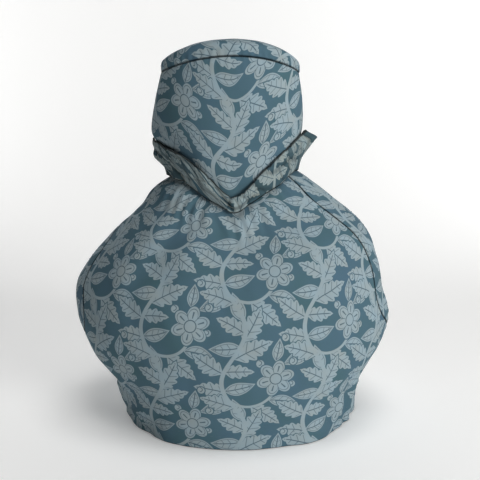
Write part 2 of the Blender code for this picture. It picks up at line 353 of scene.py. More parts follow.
@dataclass(frozen=True)
class DrapedForm:
    """The form on which all the cloth lies, in metres and degrees, and the cloth's wrinkles on it."""

    # the neck line, the crown's seam and its dome
    axis_x: float = 0.0006
    neck_height: float = 0.1455
    neck_tilt: float = 0.0020
    neck_dip: float = 0.0200
    neck_rounding: float = 0.08
    neck_lift: float = 0.0034
    neck_lift_angle: float = -42.0
    neck_lift_width: float = 22.0
    crown_seam_side: float = 0.2025
    crown_seam_front: float = 0.2090
    total_height: float = 0.2210
    crown_fall_side: float = 0.0110
    crown_fall_front: float = 0.0040
    crown_squareness: float = 2.35

    # the body's wrinkles
    hem_strip: float = 0.0040
    wave_depth: float = 0.00042
    ripple_depth: float = 0.00013
    puckers_at: tuple[Pucker, ...] = (
        Pucker(Side.RIGHT, 0.012, 0.062, 1.0),
        Pucker(Side.LEFT, 0.010, 0.044, 0.7),
    )
    pucker_depth: float = 0.00040
    pucker_pitch: float = 0.0052
    pucker_drift: float = 1.6
    pucker_reach: float = 11.0
    pucker_start: float = 0.008
    pucker_end: float = 0.012
    neck_gathers: int = 46
    neck_gather_depth: float = 0.00055
    neck_gather_drift: float = 2.2
    neck_gather_rise: tuple[float, float] = (0.80, 0.97)
    neck_gather_shares: tuple[float, float] = (0.4, 0.6)
    neck_calm: float = 0.93

    # the bonnet's and the crown's wrinkles: of a pair of depths, the second is added near the neck
    bonnet_wave_depths: tuple[float, float] = (0.00016, 0.00030)
    bonnet_ripple_depths: tuple[float, float] = (0.00006, 0.00010)
    bonnet_foot: tuple[float, float] = (0.25, 0.75)
    bonnet_calm: float = 0.10
    crown_gathers: int = 58
    seam_gather_depth: float = 0.00016
    seam_gather_start: float = 0.86
    rim_gather_depth: float = 0.00020
    rim_gather_drift: float = 1.5
    rim_rings: tuple[float, float] = (0.3, 2.6)
    dome_ring: float = 2.0
    crown_wave_depth: float = 0.00022
    crown_wave_sink: float = 1.2
    crown_ripple_depth: float = 0.00005

    # the uneven waves that they all share
    waves: Crumple = field(default_factory=lambda: Crumple(11, 0.040))
    ripples: Crumple = field(default_factory=lambda: Crumple(12, 0.015))
    drift: Crumple = field(default_factory=lambda: Crumple(13, 0.030))

    def oval(self, section: Array, angle: Array) -> tuple[Array, Array]:
        """Finds points in plan on lopsided ovals.

        Args:
            section: The ovals' left and right reaches and depths.
            angle: Angles on them.

        Returns:
            The points and the directions that point out of the ovals there, at height 0.
        """
        left, right, depth = section
        sine, cosine = np.sin(np.radians(angle)), np.cos(np.radians(angle))
        width = (left + right) / 2 + (right - left) / 2 * sine
        flat = np.zeros_like(sine)
        plan = np.stack([self.axis_x + width * sine, -depth * cosine, flat], axis=-1)
        outward = np.stack([sine / width, -cosine / depth, flat], axis=-1)
        return plan, outward / np.linalg.norm(outward, axis=-1, keepdims=True)

    def neck_line(self, angle: Array) -> Array:
        """Finds the neck line: a rounded V at the front and the back, lifted at the front's left.

        Args:
            angle: Angles round the form.

        Returns:
            The line's heights there.
        """
        sine, soft = np.sin(np.radians(angle)), self.neck_rounding
        rise = (np.hypot(sine, soft) - soft) / (math.hypot(1.0, soft) - soft)
        turn = turn_from(self.neck_lift_angle, angle) / self.neck_lift_width
        lift = self.neck_lift * np.exp(-(turn**2))
        return self.neck_height + self.neck_tilt * sine - self.neck_dip * (1 - rise) + lift

    def crown_line(self, angle: Array) -> Array:
        """Height of the crown's seam, which arches over the front and the back."""
        arch = self.crown_seam_front - self.crown_seam_side
        return self.crown_seam_side + arch * np.cos(np.radians(angle)) ** 2

    def fold_offset(self, folds: Sequence[Fold], angle: Array, height: Array, radius: Array) -> Array:
        """How far a table's folds push the body's cloth outwards.

        Args:
            folds: The table.
            angle: Angles of the points.
            height: Their heights.
            radius: Their distances from the axis in plan.

        Returns:
            The push outwards.
        """
        offset = np.zeros_like(height)
        for fold in folds:
            turn = turn_from(fold.angle, angle)
            along_body, up = np.radians(turn) * radius, height - fold.height
            lean = math.radians(fold.lean)
            across = along_body * math.cos(lean) - up * math.sin(lean)
            along = along_body * math.sin(lean) + up * math.cos(lean)
            offset -= fold.depth * np.exp(-((across / fold.width) ** 2) - (along / fold.length) ** 2)
        return offset

    def puckers(self, angle: Array, height: Array, point: Array) -> Array:
        """Makes small ripples of the body's cloth across its side seams.

        Args:
            angle: Angles of the points.
            height: Their heights.
            point: The points.

        Returns:
            The push outwards.
        """
        drift = self.drift.soft(point) * self.pucker_drift
        ripple = np.sin(2 * math.pi * height / self.pucker_pitch + drift)
        push = np.zeros_like(height)
        for side, low, high, strength in self.puckers_at:
            turn = turn_from(side.value, angle)
            span = smooth_step(low - self.pucker_start, low, height)
            span = span * (1 - smooth_step(high, high + self.pucker_end, height))
            near = np.exp(-((turn / self.pucker_reach) ** 2))
            push += strength * self.pucker_depth * ripple * span * near
        return push

    def body(self, angle: Array, share: Array, wrinkled: bool = True) -> Array:
        """Points on the outside of the body, from the hem (share 0) to the neck line (share 1).

        Args:
            angle: Angles of the points.
            share: Their shares of the body's height.
            wrinkled: Whether the cloth has its folds and wrinkles.

        Returns:
            The points.
        """
        angle, share = np.broadcast_arrays(np.asarray(angle, float), np.asarray(share, float))
        draped = np.maximum(share, self.hem_strip / self.neck_height)
        plan, outward = self.oval(smooth_columns(BODY_SECTIONS, draped), angle)
        top = self.neck_line(angle)
        point = plan.copy()
        point[..., 2] = draped * top
        if wrinkled:
            height, radius = draped * top, np.linalg.norm(plan, axis=-1)
            push = self.fold_offset(LARGE_FOLDS, angle, height, radius)
            push += self.fold_offset(SMALL_FOLDS, angle, height, radius)
            push += self.puckers(angle, height, point)
            calm = 1 - smooth_step(self.neck_calm, 1.0, share)
            push += self.wave_depth * self.waves.soft(point) * calm
            push += self.ripple_depth * self.ripples.soft(point) * calm
            drift = self.neck_gather_drift * self.drift.soft(point)
            gathers = np.sin(np.radians(self.neck_gathers * angle) + drift)
            near_neck = smooth_step(*self.neck_gather_rise, share)
            least, more = self.neck_gather_shares
            push += self.neck_gather_depth * near_neck * gathers * (least + more * calm)
            point += outward * push[..., None]
        point[..., 2] = share * top
        return point

    def bonnet(self, angle: Array, share: Array, stand: Array | float = 0.0) -> Array:
        """Finds points on the bonnet's wall, or standing out from it, from the neck to the crown.

        Args:
            angle: Angles of the points.
            share: Their shares of the wall's height.
            stand: How far they stand out.

        Returns:
            The points.
        """
        angle, share = np.broadcast_arrays(np.asarray(angle, float), np.asarray(share, float))
        plan, outward = self.oval(smooth_columns(BONNET_SECTIONS, share), angle)
        point = plan + outward * np.broadcast_to(stand, share.shape)[..., None]
        neck = self.neck_line(angle)
        point[..., 2] = neck + share * (self.crown_line(angle) - neck)
        return point

    def bonnet_cloth(self, angle: Array, share: Array) -> Array:
        """Finds points on the outside of the bonnet's wall, with the cloth's wrinkles.

        Args:
            angle: Angles of the points.
            share: Their shares of the wall's height.

        Returns:
            The points.
        """
        smooth = self.bonnet(angle, share)
        low = 1 - smooth_step(*self.bonnet_foot, share)
        (wave, more_wave), (ripple, more_ripple) = self.bonnet_wave_depths, self.bonnet_ripple_depths
        push = (wave + more_wave * low) * self.waves.soft(smooth)
        push = push + (ripple + more_ripple * low) * self.ripples.soft(smooth)
        near_seam = smooth_step(self.seam_gather_start, 1.0, share)
        gathers = np.sin(np.radians(self.crown_gathers * np.asarray(angle)) + self.drift.soft(smooth))
        push = push + self.seam_gather_depth * near_seam * gathers
        return self.bonnet(angle, share, push * smooth_step(0.0, self.bonnet_calm, share))

    def crown(self, angle: Array, ring: Array) -> Array:
        """Finds points on the outside of the crown, from its seam to its middle.

        Args:
            angle: Angles of the points.
            ring: Their rings, from the first at the seam.

        Returns:
            The points.
        """
        angle, ring = np.broadcast_arrays(np.asarray(angle, float), np.asarray(ring, float))
        reach, lift = smooth_columns(CROWN_RINGS, ring)
        _, left, right, depth = BONNET_SECTIONS[-1]
        plan, _ = self.oval(smooth_columns(BONNET_SECTIONS, np.ones_like(angle)), angle)
        middle = np.array([self.axis_x + (right - left) / 2, 0.0, 0.0])
        point = middle + (plan - middle) * reach[..., None]
        side, front = (point[..., 0] - middle[0]) * 2 / (left + right), point[..., 1] / depth
        dome = self.total_height - self.crown_fall_side * np.abs(side) ** self.crown_squareness
        dome = dome - self.crown_fall_front * front**2
        seam = self.crown_line(angle)
        point[..., 2] = seam + (dome - seam) * lift
        return point

    def crown_cloth(self, angle: Array, ring: Array) -> Array:
        """Finds points on the outside of the crown, with the cloth's wrinkles.

        Args:
            angle: Angles of the points.
            ring: Their rings, from the first at the seam.

        Returns:
            The points.
        """
        point = self.crown(angle, ring)
        ring = np.broadcast_to(np.asarray(ring, float), point.shape[:-1])
        spread = smooth_step(0.0, self.dome_ring, ring)
        rim = 1 - smooth_step(*self.rim_rings, ring)
        drift = self.rim_gather_drift * self.drift.soft(point)
        gathers = np.sin(np.radians(self.crown_gathers * np.asarray(angle)) + drift)
        sink = self.crown_wave_depth * (self.waves.soft(point) - self.crown_wave_sink) * spread
        outward = self.outward(point)
        point[..., 2] += sink + self.crown_ripple_depth * self.ripples.soft(point) * spread
        return point + outward * (self.rim_gather_depth * rim * gathers)[..., None]

    def outward(self, points: Array) -> Array:
        """Finds level directions from the form's axis.

        Args:
            points: The points to which they lead.

        Returns:
            One direction for each point.
        """
        away = points - np.array([self.axis_x, 0.0, 0.0])
        away[..., 2] = 0.0
        return away / np.maximum(np.linalg.norm(away, axis=-1, keepdims=True), 1e-6)

    def length_along(self, surface: Surface, start: tuple, end: tuple, steps: int = 48) -> Array:
        """Measures cloth along straight lines of angle and share.

        Args:
            surface: The smooth surface that carries the cloth.
            start: Angles and shares of the lines' starts.
            end: The same of their ends.
            steps: How many chords measure each line.

        Returns:
            The lengths.
        """
        total, last = 0.0, None
        for i in range(steps + 1):
            t = i / steps
            here = surface(start[0] + t * (end[0] - start[0]), start[1] + t * (end[1] - start[1]))
            if last is not None:
                total = total + np.linalg.norm(here - last, axis=-1)
            last = here
        return total


# ---------------------------------------- cloth


class Patch(NamedTuple):
    """A grid of points on a sheet's outside, and their places on the flat cloth.

    Two more values say how far the wrong side shows at each point, and how dark the painted shade of the
    fold it lies in is.
    """

    points: Array
    flat: Array
    wrong: Array | None = None
    fold_shade_mask: Array | None = None

    def marks(self) -> Array:
        """The two more values at each point, which are 0 where the patch has none."""
        none = np.zeros(self.points[..., 0].size)
        return np.stack([none if mark is None else mark.ravel() for mark in (self.wrong, self.fold_shade_mask)], axis=1)


@dataclass(frozen=True)
class EdgeRows:
    """How rows of points crowd towards a rolled edge, as shares of the roll's radius."""

    steps: tuple[float, ...] = (0.0, 0.10, 0.26, 0.50, 0.78, 1.10)
    room_for_both: float = 2.2

    def between(self, start: Array, end: Array, radius: Array, count: int) -> Array:
        """Spreads places from one edge to the other, close together near both.

        Args:
            start: Places of the first edge, one for each row.
            end: Places of the other edge.
            radius: The roll's radius in the same unit.
            count: How many even steps lie between the two crowds.

        Returns:
            Places with one more axis, which runs from start to end.
        """
        start, end, radius = (np.asarray(x, float)[..., None] for x in (start, end, radius))
        steps = np.array(self.steps)
        near = np.minimum(radius, (end - start) / (self.room_for_both * steps[-1] + 1e-9))
        first, last = start + near * steps, end - near * steps[::-1]
        inner = np.linspace(0.0, 1.0, count + 1)[1:-1]
        low, high = first[..., -1:], last[..., :1]
        return np.concatenate([first, low + (high - low) * inner, last], axis=-1)


@dataclass
class ClothSheet:
    """Turns grids of points into one closed sheet of cloth with rolled edges."""

    name: str
    thickness: float
    roll: float
    patches: list[Patch]
    thinnest: float = 0.16
    weld_steps_per_metre: float = 2e6

    def weld(self) -> tuple[Array, list[list[int]], list[list[int]], Array, Array]:
        """Sews the grids together where they share points.

        Returns:
            The points, the faces as corners into them, the same faces as corners into the flat places, the
            flat places, and each point's wrong side and painted shade in the hollows of folds.
        """
        points = np.concatenate([p.points.reshape(-1, 3) for p in self.patches])
        flat = np.concatenate([p.flat.reshape(-1, 2) for p in self.patches])
        marks = np.concatenate([p.marks() for p in self.patches])
        steps = np.round(points * self.weld_steps_per_metre)
        _, first, known = np.unique(steps, axis=0, return_index=True, return_inverse=True)
        known = known.ravel()
        faces, places, start = [], [], 0
        for patch in self.patches:
            rows, columns = patch.points.shape[:2]
            grid = start + np.arange(rows * columns).reshape(rows, columns)
            start += rows * columns
            corners = np.stack([grid[:-1, :-1], grid[:-1, 1:], grid[1:, 1:], grid[1:, :-1]], axis=-1)
            for corner in corners.reshape(-1, 4).tolist():
                ids = [int(known[c]) for c in corner]
                kept = [i for i in range(4) if ids[i] != ids[i - 1]]
                if len(kept) > 2:
                    faces.append([ids[i] for i in kept])
                    places.append([corner[i] for i in kept])
        return points[first], faces, places, flat, marks[first]

    @staticmethod
    def normals(points: Array, faces: list[list[int]]) -> Array:
        """Finds the directions that point out of an open sheet.

        Args:
            points: The sheet's points.
            faces: Its faces, as corners into them.

        Returns:
            One direction for each point.
        """
        total = np.zeros_like(points)
        for size in (3, 4):
            corners = np.array([f for f in faces if len(f) == size], dtype=int).reshape(-1, size)
            a, b, c, d = (points[corners[:, i % size]] for i in (0, 1, 2, 3))
            turned = np.cross(c - a, (d - b) if size == 4 else (c - b))
            for i in range(size):
                np.add.at(total, corners[:, i], turned)
        return total / np.maximum(np.linalg.norm(total, axis=1, keepdims=True), 1e-12)

    @staticmethod
    def boundary(faces: list[list[int]]) -> Array:
        """Finds the edges that only one face has.

        Args:
            faces: The sheet's faces.

        Returns:
            The edges, in their face's direction.
        """
        edges = np.array([(f[i], f[(i + 1) % len(f)]) for f in faces for i in range(len(f))])
        _, index, counts = np.unique(np.sort(edges, axis=1), axis=0, return_index=True, return_counts=True)
        return edges[index[counts == 1]]

    @staticmethod
    def distance_to(points: Array, edges: Array, at_once: int = 1500) -> Array:
        """Measures how far points are from the nearest edge, up to a limit.

        Args:
            points: The points.
            edges: The edges, as pairs of points.
            at_once: How many points are measured at once.

        Returns:
            The distances.
        """
        nearest = np.full(len(points), EDGE_REACH)
        starts, ends = points[edges[:, 0]], points[edges[:, 1]]
        lengths = ends - starts
        squares = np.maximum((lengths**2).sum(axis=1), 1e-16)
        for first in range(0, len(points), at_once):
            part = points[first : first + at_once, None]
            share = np.clip(((part - starts) * lengths).sum(axis=2) / squares, 0, 1)
            gap = np.linalg.norm(part - starts - share[..., None] * lengths, axis=2).min(axis=1)
            nearest[first : first + at_once] = np.minimum(gap, EDGE_REACH)
        return nearest

    def build(self) -> bpy.types.Object:
        """Makes the closed sheet.

        Returns:
            The piece, with its flat map and its attributes.
        """
        points, faces, places, flat, marks = self.weld()
        normals, edges = self.normals(points, faces), self.boundary(faces)
        distance = self.distance_to(points, edges)
        rise = np.clip(1 - distance / self.roll, 0.0, 1.0)
        share = np.maximum(np.sqrt(np.maximum(1 - rise**2, 0.0)), self.thinnest)
        inset = (self.thickness / 2 * (1 - share))[:, None]
        outer, inner = points - normals * inset, points - normals * (self.thickness - inset)
        both = np.concatenate([outer, inner])
        both[:, 2] = np.maximum(both[:, 2], 0.0)
        count = len(points)
        reverse = [[i + count for i in reversed(f)] for f in faces]
        rims = [[int(b), int(a), int(a) + count, int(b) + count] for a, b in edges]
        mesh = bpy.data.meshes.new(self.name)
        mesh.from_pydata(both.tolist(), [], faces + reverse + rims)
        place_of = dict(zip((i for f in faces for i in f), (i for f in places for i in f)))
        corners = [i for f in places for i in f] + [i for f in places for i in reversed(f)]
        corners += [place_of[int(i)] for a, b in edges for i in (b, a, a, b)]
        mesh.uv_layers.new(name=CLOTH_MAP).data.foreach_set("uv", flat[corners].ravel())
        for name, outside, inside in (
            (WRONG_SIDE, marks[:, 0], np.ones(count)),
            (CREASE_SHADE_MASK, marks[:, 1], np.zeros(count)),
            (EDGE_DISTANCE, distance, distance),
        ):
            values = mesh.attributes.new(name, "FLOAT", "POINT")
            values.data.foreach_set("value", np.concatenate([outside, inside]))
        mesh.shade_smooth()
        mesh.validate()
        piece = linked(self.name, mesh)
        size = flat.max(axis=0) - flat.min(axis=0)
        area = sum(self.flat_area(p.flat) for p in self.patches)
        log.info(
            "%s: %d faces, flat %.0f x %.0f mm, %.1f cm2",
            self.name, len(mesh.polygons), size[0] / MM, size[1] / MM, area * 1e4,
        )
        return piece

    @staticmethod
    def flat_area(flat: Array) -> float:
        """Area that a grid covers on the flat cloth."""
        across, up = flat[1:, 1:] - flat[:-1, :-1], flat[1:, :-1] - flat[:-1, 1:]
        return float(np.abs(across[..., 0] * up[..., 1] - across[..., 1] * up[..., 0]).sum() / 2)


def sewn(name: str, thickness: float, roll: float, patches: list[Patch]) -> bpy.types.Object:
    """Makes one closed sheet of cloth from its grids."""
    return ClothSheet(name, thickness, roll, patches).build()


def smooth_flat(form: DrapedForm, surface: Surface, middle: Side, angle: Array, share: Array) -> Array:
    """Finds where points of a draped sheet lie on its flat cloth.

    Args:
        form: The form that measures lengths.
        surface: The smooth surface that carries the sheet.
        middle: Where the line is from which cloth is measured sideways. It is measured upwards from share 0.
        angle: Angles of the points.
        share: Shares of the points.

    Returns:
        Their places, in metres.
    """
    across = form.length_along(surface, (np.full_like(angle, middle.value), share), (angle, share))
    up = form.length_along(surface, (angle, np.zeros_like(share)), (angle, share))
    return np.stack([across * np.sign(angle - middle.value), up], axis=-1)


@dataclass(frozen=True)
class Cut:
    """A piece's cut: its width, length and area on the flat cloth, in metres, and where the print starts."""

    width: float
    length: float
    area: float
    print_shift: tuple[float, float] = (0.0, 0.0)

    def shifted(self, flat: Array) -> Array:
        """Places on the flat cloth, counted from where the print starts."""
        return flat + np.array(self.print_shift)


def declare(
    piece: bpy.types.Object,
    trims: Sequence[bpy.types.Object] = (),
) -> None:
    """Hangs a finished cloth piece and the stitches on it from its body, and hides the imported part that it
    replaces.

    Args:
        piece: The piece, named after the node that it replaces.
        trims: Separate pieces that are sewn on it.
    """
    node = piece.name.removesuffix("_cloth")
    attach(piece, BODY_NAME)
    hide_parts(node)
    for trim in trims:
        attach(trim, BODY_NAME)
    log.info("%s: rides on %s, %d trims", piece.name, BODY_NAME, len(trims))


# ---------------------------------------- the cosy's sub-assemblies


@dataclass(frozen=True)
class Slit:
    """A lens-shaped opening in a facing: its side, the facing's reaches, and its ends and half width."""

    side: Side
    reaches: Reaches
    low: float
    high: float
    half_width: float = 15.0

    def span(self, margin: float = 0.0) -> tuple[float, float]:
        """The lens's middle and half of its height, as shares of the body, with a margin at its ends."""
        return (self.low + self.high) / 2, (self.high - self.low) / 2 + margin

    def inner(self, share: Array, margin: float = 0.0, widening: float = 0.0) -> Array:
        """Half of the lens's width at shares of the body, in degrees: nothing beyond its ends."""
        middle, half = self.span(margin)
        return np.maximum((self.half_width + widening) * (1 - ((share - middle) / half) ** 2), 0.0)


def edge_reach(table: Reaches, share: Array) -> Array:
    """How far a facing reaches from its side at shares of the body: nothing beyond its ends."""
    reach = np.maximum(smooth_columns(table, share)[0], 0.0)
    return np.where((share > table[0].share) & (share <= table[-1].share), reach, 0.0)


@dataclass
class Body:
    """The two shaped panels of the body and the two facings with slits that are set between them."""

    form: DrapedForm
    cloth: float = 0.0024
    roll: float = 0.0009
    side_gap: float = 0.00005
    facing_gap: float = 0.00006
    tip_inset: float = 0.002
    tip_taper: float = 0.003
    panel_rows: int = 132
    front_columns: int = 150
    back_columns: int = 120
    facing_rows: int = 96
    facing_columns: int = 26
    slant_step: float = 0.01
    hem_stitch_share: float = 0.066
    hem_stitch_margin: float = 1.6
    hem_path_points: int = 160
    edging_margin: float = 0.020
    edging_widening: float = 2.4
    edging_path_points: int = 180
    edge_rows: EdgeRows = field(default_factory=EdgeRows)
    spout_slit: Slit = Slit(Side.LEFT, SPOUT_REACHES, 0.3411, 0.6728)
    handle_slit: Slit = Slit(Side.RIGHT, HANDLE_REACHES, 0.3852, 0.8314)
    front_cut: Cut = Cut(0.260, 0.175, 0.0315)
    back_cut: Cut = Cut(0.260, 0.175, 0.0315, (0.017, 0.009))
    spout_cut: Cut = Cut(0.079, 0.081, 0.0028, (0.031, 0.012))
    handle_cut: Cut = Cut(0.071, 0.122, 0.0054, (-0.022, 0.004))

    def depth(self, share: Array) -> Array:
        """Half of the body's depth at shares of its height."""
        return smooth_columns(BODY_SECTIONS, share)[2]

    def smooth(self, angle: Array, share: Array) -> Array:
        """The body without its wrinkles."""
        return self.form.body(angle, share, wrinkled=False)

    def patch(self, angle: Array, share: Array, middle: Side, cut: Cut) -> Patch:
        """A grid of the body's cloth at the given angles and shares."""
        flat = smooth_flat(self.form, self.smooth, middle, angle, share)
        return Patch(self.form.body(angle, share), cut.shifted(flat))

    def panel(
        self,
        name: str,
        sides: tuple[Side, Side],
        tables: tuple[Reaches, Reaches],
        middle: Side,
        columns: int,
        cut: Cut,
    ) -> bpy.types.Object:
        """Makes a panel between two sides, whose edges follow the side seams and the facings.

        Args:
            name: Name of the piece.
            sides: Where it starts and ends.
            tables: The reaches of the facings there.
            middle: Where its middle is.
            columns: How many even columns it has.
            cut: Its cut.

        Returns:
            The piece.
        """
        share = self.edge_rows.between(0.0, 1.0, self.roll / self.form.neck_height, self.panel_rows)
        depth = self.depth(share)
        seam = np.degrees(self.side_gap / 2 / depth)
        start = sides[0].value + np.maximum(edge_reach(tables[0], share), seam)
        end = sides[1].value - np.maximum(edge_reach(tables[1], share), seam)
        angle = self.edge_rows.between(start, end, np.degrees(self.roll / depth), columns)
        share = np.broadcast_to(share[:, None], angle.shape)
        return sewn(name, self.cloth, self.roll, [self.patch(angle, share, middle, cut)])

    def inset(self, table: Reaches, share: Array) -> Array:
        """Works out the angle between a facing's edge and its panel's, wider where the edge slants.

        Args:
            table: The facing's reaches.
            share: Shares of the body's height.

        Returns:
            The angles, in degrees.
        """
        step = self.slant_step
        rise = edge_reach(table, share + step) - edge_reach(table, share - step)
        depth = self.depth(share)
        slant = np.radians(rise) * depth / (2 * step * self.form.neck_height)
        return np.degrees(self.facing_gap / depth) * np.hypot(1.0, slant)

    def facing(self, name: str, slit: Slit, cut: Cut) -> bpy.types.Object:
        """Makes a facing: two strips that meet above and below their slit.

        Args:
            name: Name of the piece.
            slit: Its slit.
            cut: Its cut.

        Returns:
            The piece.
        """
        low, high = slit.reaches[0].share + self.tip_inset, slit.reaches[-1].share
        closed = slit.reaches[-1].reach == 0.0
        high -= self.tip_inset if closed else 0.0
        share = self.edge_rows.between(low, high, self.roll / self.form.neck_height, self.facing_rows)
        outer = edge_reach(slit.reaches, share) - self.inset(slit.reaches, share)
        outer = np.maximum(outer, 0.0) * smooth_step(low, low + self.tip_taper, share)
        if closed:
            outer = outer * (1 - smooth_step(high - self.tip_taper, high, share))
        inner = np.minimum(slit.inner(share), outer)
        radius = np.degrees(self.roll / self.depth(share))
        side = slit.side.value
        patches = []
        for start, end in ((side - outer, side - inner), (side + inner, side + outer)):
            angle = self.edge_rows.between(start, end, radius, self.facing_columns)
            rows = np.broadcast_to(share[:, None], angle.shape)
            patches.append(self.patch(angle, rows, slit.side, cut))
        return sewn(name, self.cloth, self.roll, patches)

    def hem_path(self, start: Side) -> Array:
        """Follows the hem's stitches half of the way round the body.

        Args:
            start: The side where they start.

        Returns:
            Points on the cloth.
        """
        first, last = start.value + self.hem_stitch_margin, start.value + 180.0 - self.hem_stitch_margin
        angle = np.linspace(first, last, self.hem_path_points)
        return self.form.body(angle, np.full_like(angle, self.hem_stitch_share))

    def slit_path(self, slit: Slit) -> Array:
        """Follows the edge of a slit, where it is stitched down.

        Args:
            slit: The slit.

        Returns:
            Points on the cloth.
        """
        middle, half = slit.span(self.edging_margin)
        turn = np.linspace(0.0, 2 * math.pi, self.edging_path_points)
        share = middle - half * np.cos(turn)
        reach = slit.inner(share, self.edging_margin, self.edging_widening) * np.sign(np.sin(turn))
        return self.form.body(slit.side.value + reach, share)

    def build(self, finishes: "Finishes", stitches: "Stitches") -> None:
        """Args:
            finishes: The cosy's finishes.
            stitches: The rows of stitches.
        """
        tables = (SPOUT_REACHES, HANDLE_REACHES)
        front = self.panel(
            "body_front_cloth", (Side.LEFT, Side.RIGHT), tables, Side.FRONT, self.front_columns,
            self.front_cut,
        )
        back = self.panel(
            "body_back_cloth", (Side.RIGHT, Side.LEFT_AGAIN), tables[::-1], Side.BACK, self.back_columns,
            self.back_cut,
        )
        for piece, cut, start in ((front, self.front_cut, Side.LEFT), (back, self.back_cut, Side.RIGHT)):
            name = f"{piece.name.removesuffix('_cloth')}_hem_stitches"
            hem = stitches.along(name, self.hem_path(start), self.form, finishes.thread)
            finishes.body.dress(piece)
            declare(piece, [hem])
        for name, slit, cut in (
            ("spout_facing", self.spout_slit, self.spout_cut),
            ("handle_facing", self.handle_slit, self.handle_cut),
        ):
            piece = self.facing(f"{name}_cloth", slit, cut)
            edging = stitches.along(f"{name}_stitches", self.slit_path(slit), self.form, finishes.thread)
            finishes.facing.dress(piece)
            declare(piece, [edging])


@dataclass
class Bonnet:
    """The wall of the bonnet, in two halves, and its domed crown."""

    form: DrapedForm
    cloth: float = 0.0024
    roll: float = 0.0005
    side_gap: float = 0.00005
    neck_gap: float = 0.0001
    rows: int = 84
    columns: int = 120
    crown_rings: int = 60
    crown_columns: int = 300
    crown_edge: float = 0.15
    edge_rows: EdgeRows = field(default_factory=EdgeRows)
    wall_cut: Cut = Cut(0.138, 0.086, 0.0089, (0.006, 0.024))
    back_wall_cut: Cut = Cut(0.138, 0.086, 0.0089, (-0.011, 0.038))
    crown_cut: Cut = Cut(0.098, 0.073, 0.0059, (0.012, -0.006))

    def wall(self, name: str, start: Side, middle: Side, cut: Cut) -> bpy.types.Object:
        """Makes one half of the wall, from one side of the cosy to the other.

        Args:
            name: Name of the piece.
            start: The side where it starts.
            middle: Where its middle is.
            cut: Its cut.

        Returns:
            The piece.
        """
        height = self.form.crown_seam_side - self.form.neck_height
        share = self.edge_rows.between(self.neck_gap / height, 1.0, self.roll / height, self.rows)
        depth = smooth_columns(BONNET_SECTIONS, share)[2]
        seam = np.degrees(self.side_gap / 2 / depth)
        first, last = start.value + seam, start.value + 180.0 - seam
        angle = self.edge_rows.between(first, last, np.degrees(self.roll / depth), self.columns)
        share = np.broadcast_to(share[:, None], angle.shape)
        flat = smooth_flat(self.form, self.form.bonnet, middle, angle, share)
        patch = Patch(self.form.bonnet_cloth(angle, share), cut.shifted(flat))
        return sewn(name, self.cloth, self.roll, [patch])

    def crown(self, name: str) -> bpy.types.Object:
        """Makes the crown, from its seam to its middle.

        Args:
            name: Name of the piece.

        Returns:
            The piece.
        """
        near, middle = self.crown_edge * np.array(self.edge_rows.steps), CROWN_RINGS[-1].number
        ring = np.concatenate([near, np.linspace(near[-1], middle, self.crown_rings + 1)[1:]])
        angle = np.linspace(0.0, 360.0, self.crown_columns + 1)
        angle, ring = np.broadcast_arrays(angle[None, :], ring[:, None])
        points = self.form.crown_cloth(angle, ring)
        points[:, -1] = points[:, 0]
        points[-1] = points[-1].mean(axis=0)
        start = (angle, np.full_like(ring, middle))
        length = self.form.length_along(self.form.crown, start, (angle, ring))
        turn = np.radians(angle)
        flat = np.stack([length * np.sin(turn), -length * np.cos(turn)], axis=-1)
        return sewn(name, self.cloth, self.roll, [Patch(points, self.crown_cut.shifted(flat))])

    def build(self, finishes: "Finishes") -> None:
        """Args:
            finishes: The cosy's finishes.
        """
        for name, start, middle, cut in (
            ("bonnet_front_cloth", Side.LEFT, Side.FRONT, self.wall_cut),
            ("bonnet_back_cloth", Side.RIGHT, Side.BACK, self.back_wall_cut),
        ):
            piece = self.wall(name, start, middle, cut)
            finishes.bonnet.dress(piece)
            declare(piece)
        crown = self.crown("bonnet_crown_cloth")
        finishes.crown.dress(crown)
        declare(crown)


class Ear(NamedTuple):
    """A place where the collar puffs out: its angle and reach both ways, how far, and its crest's share."""

    angle: float
    reach_before: float
    reach_after: float
    stand: float
    crest: float


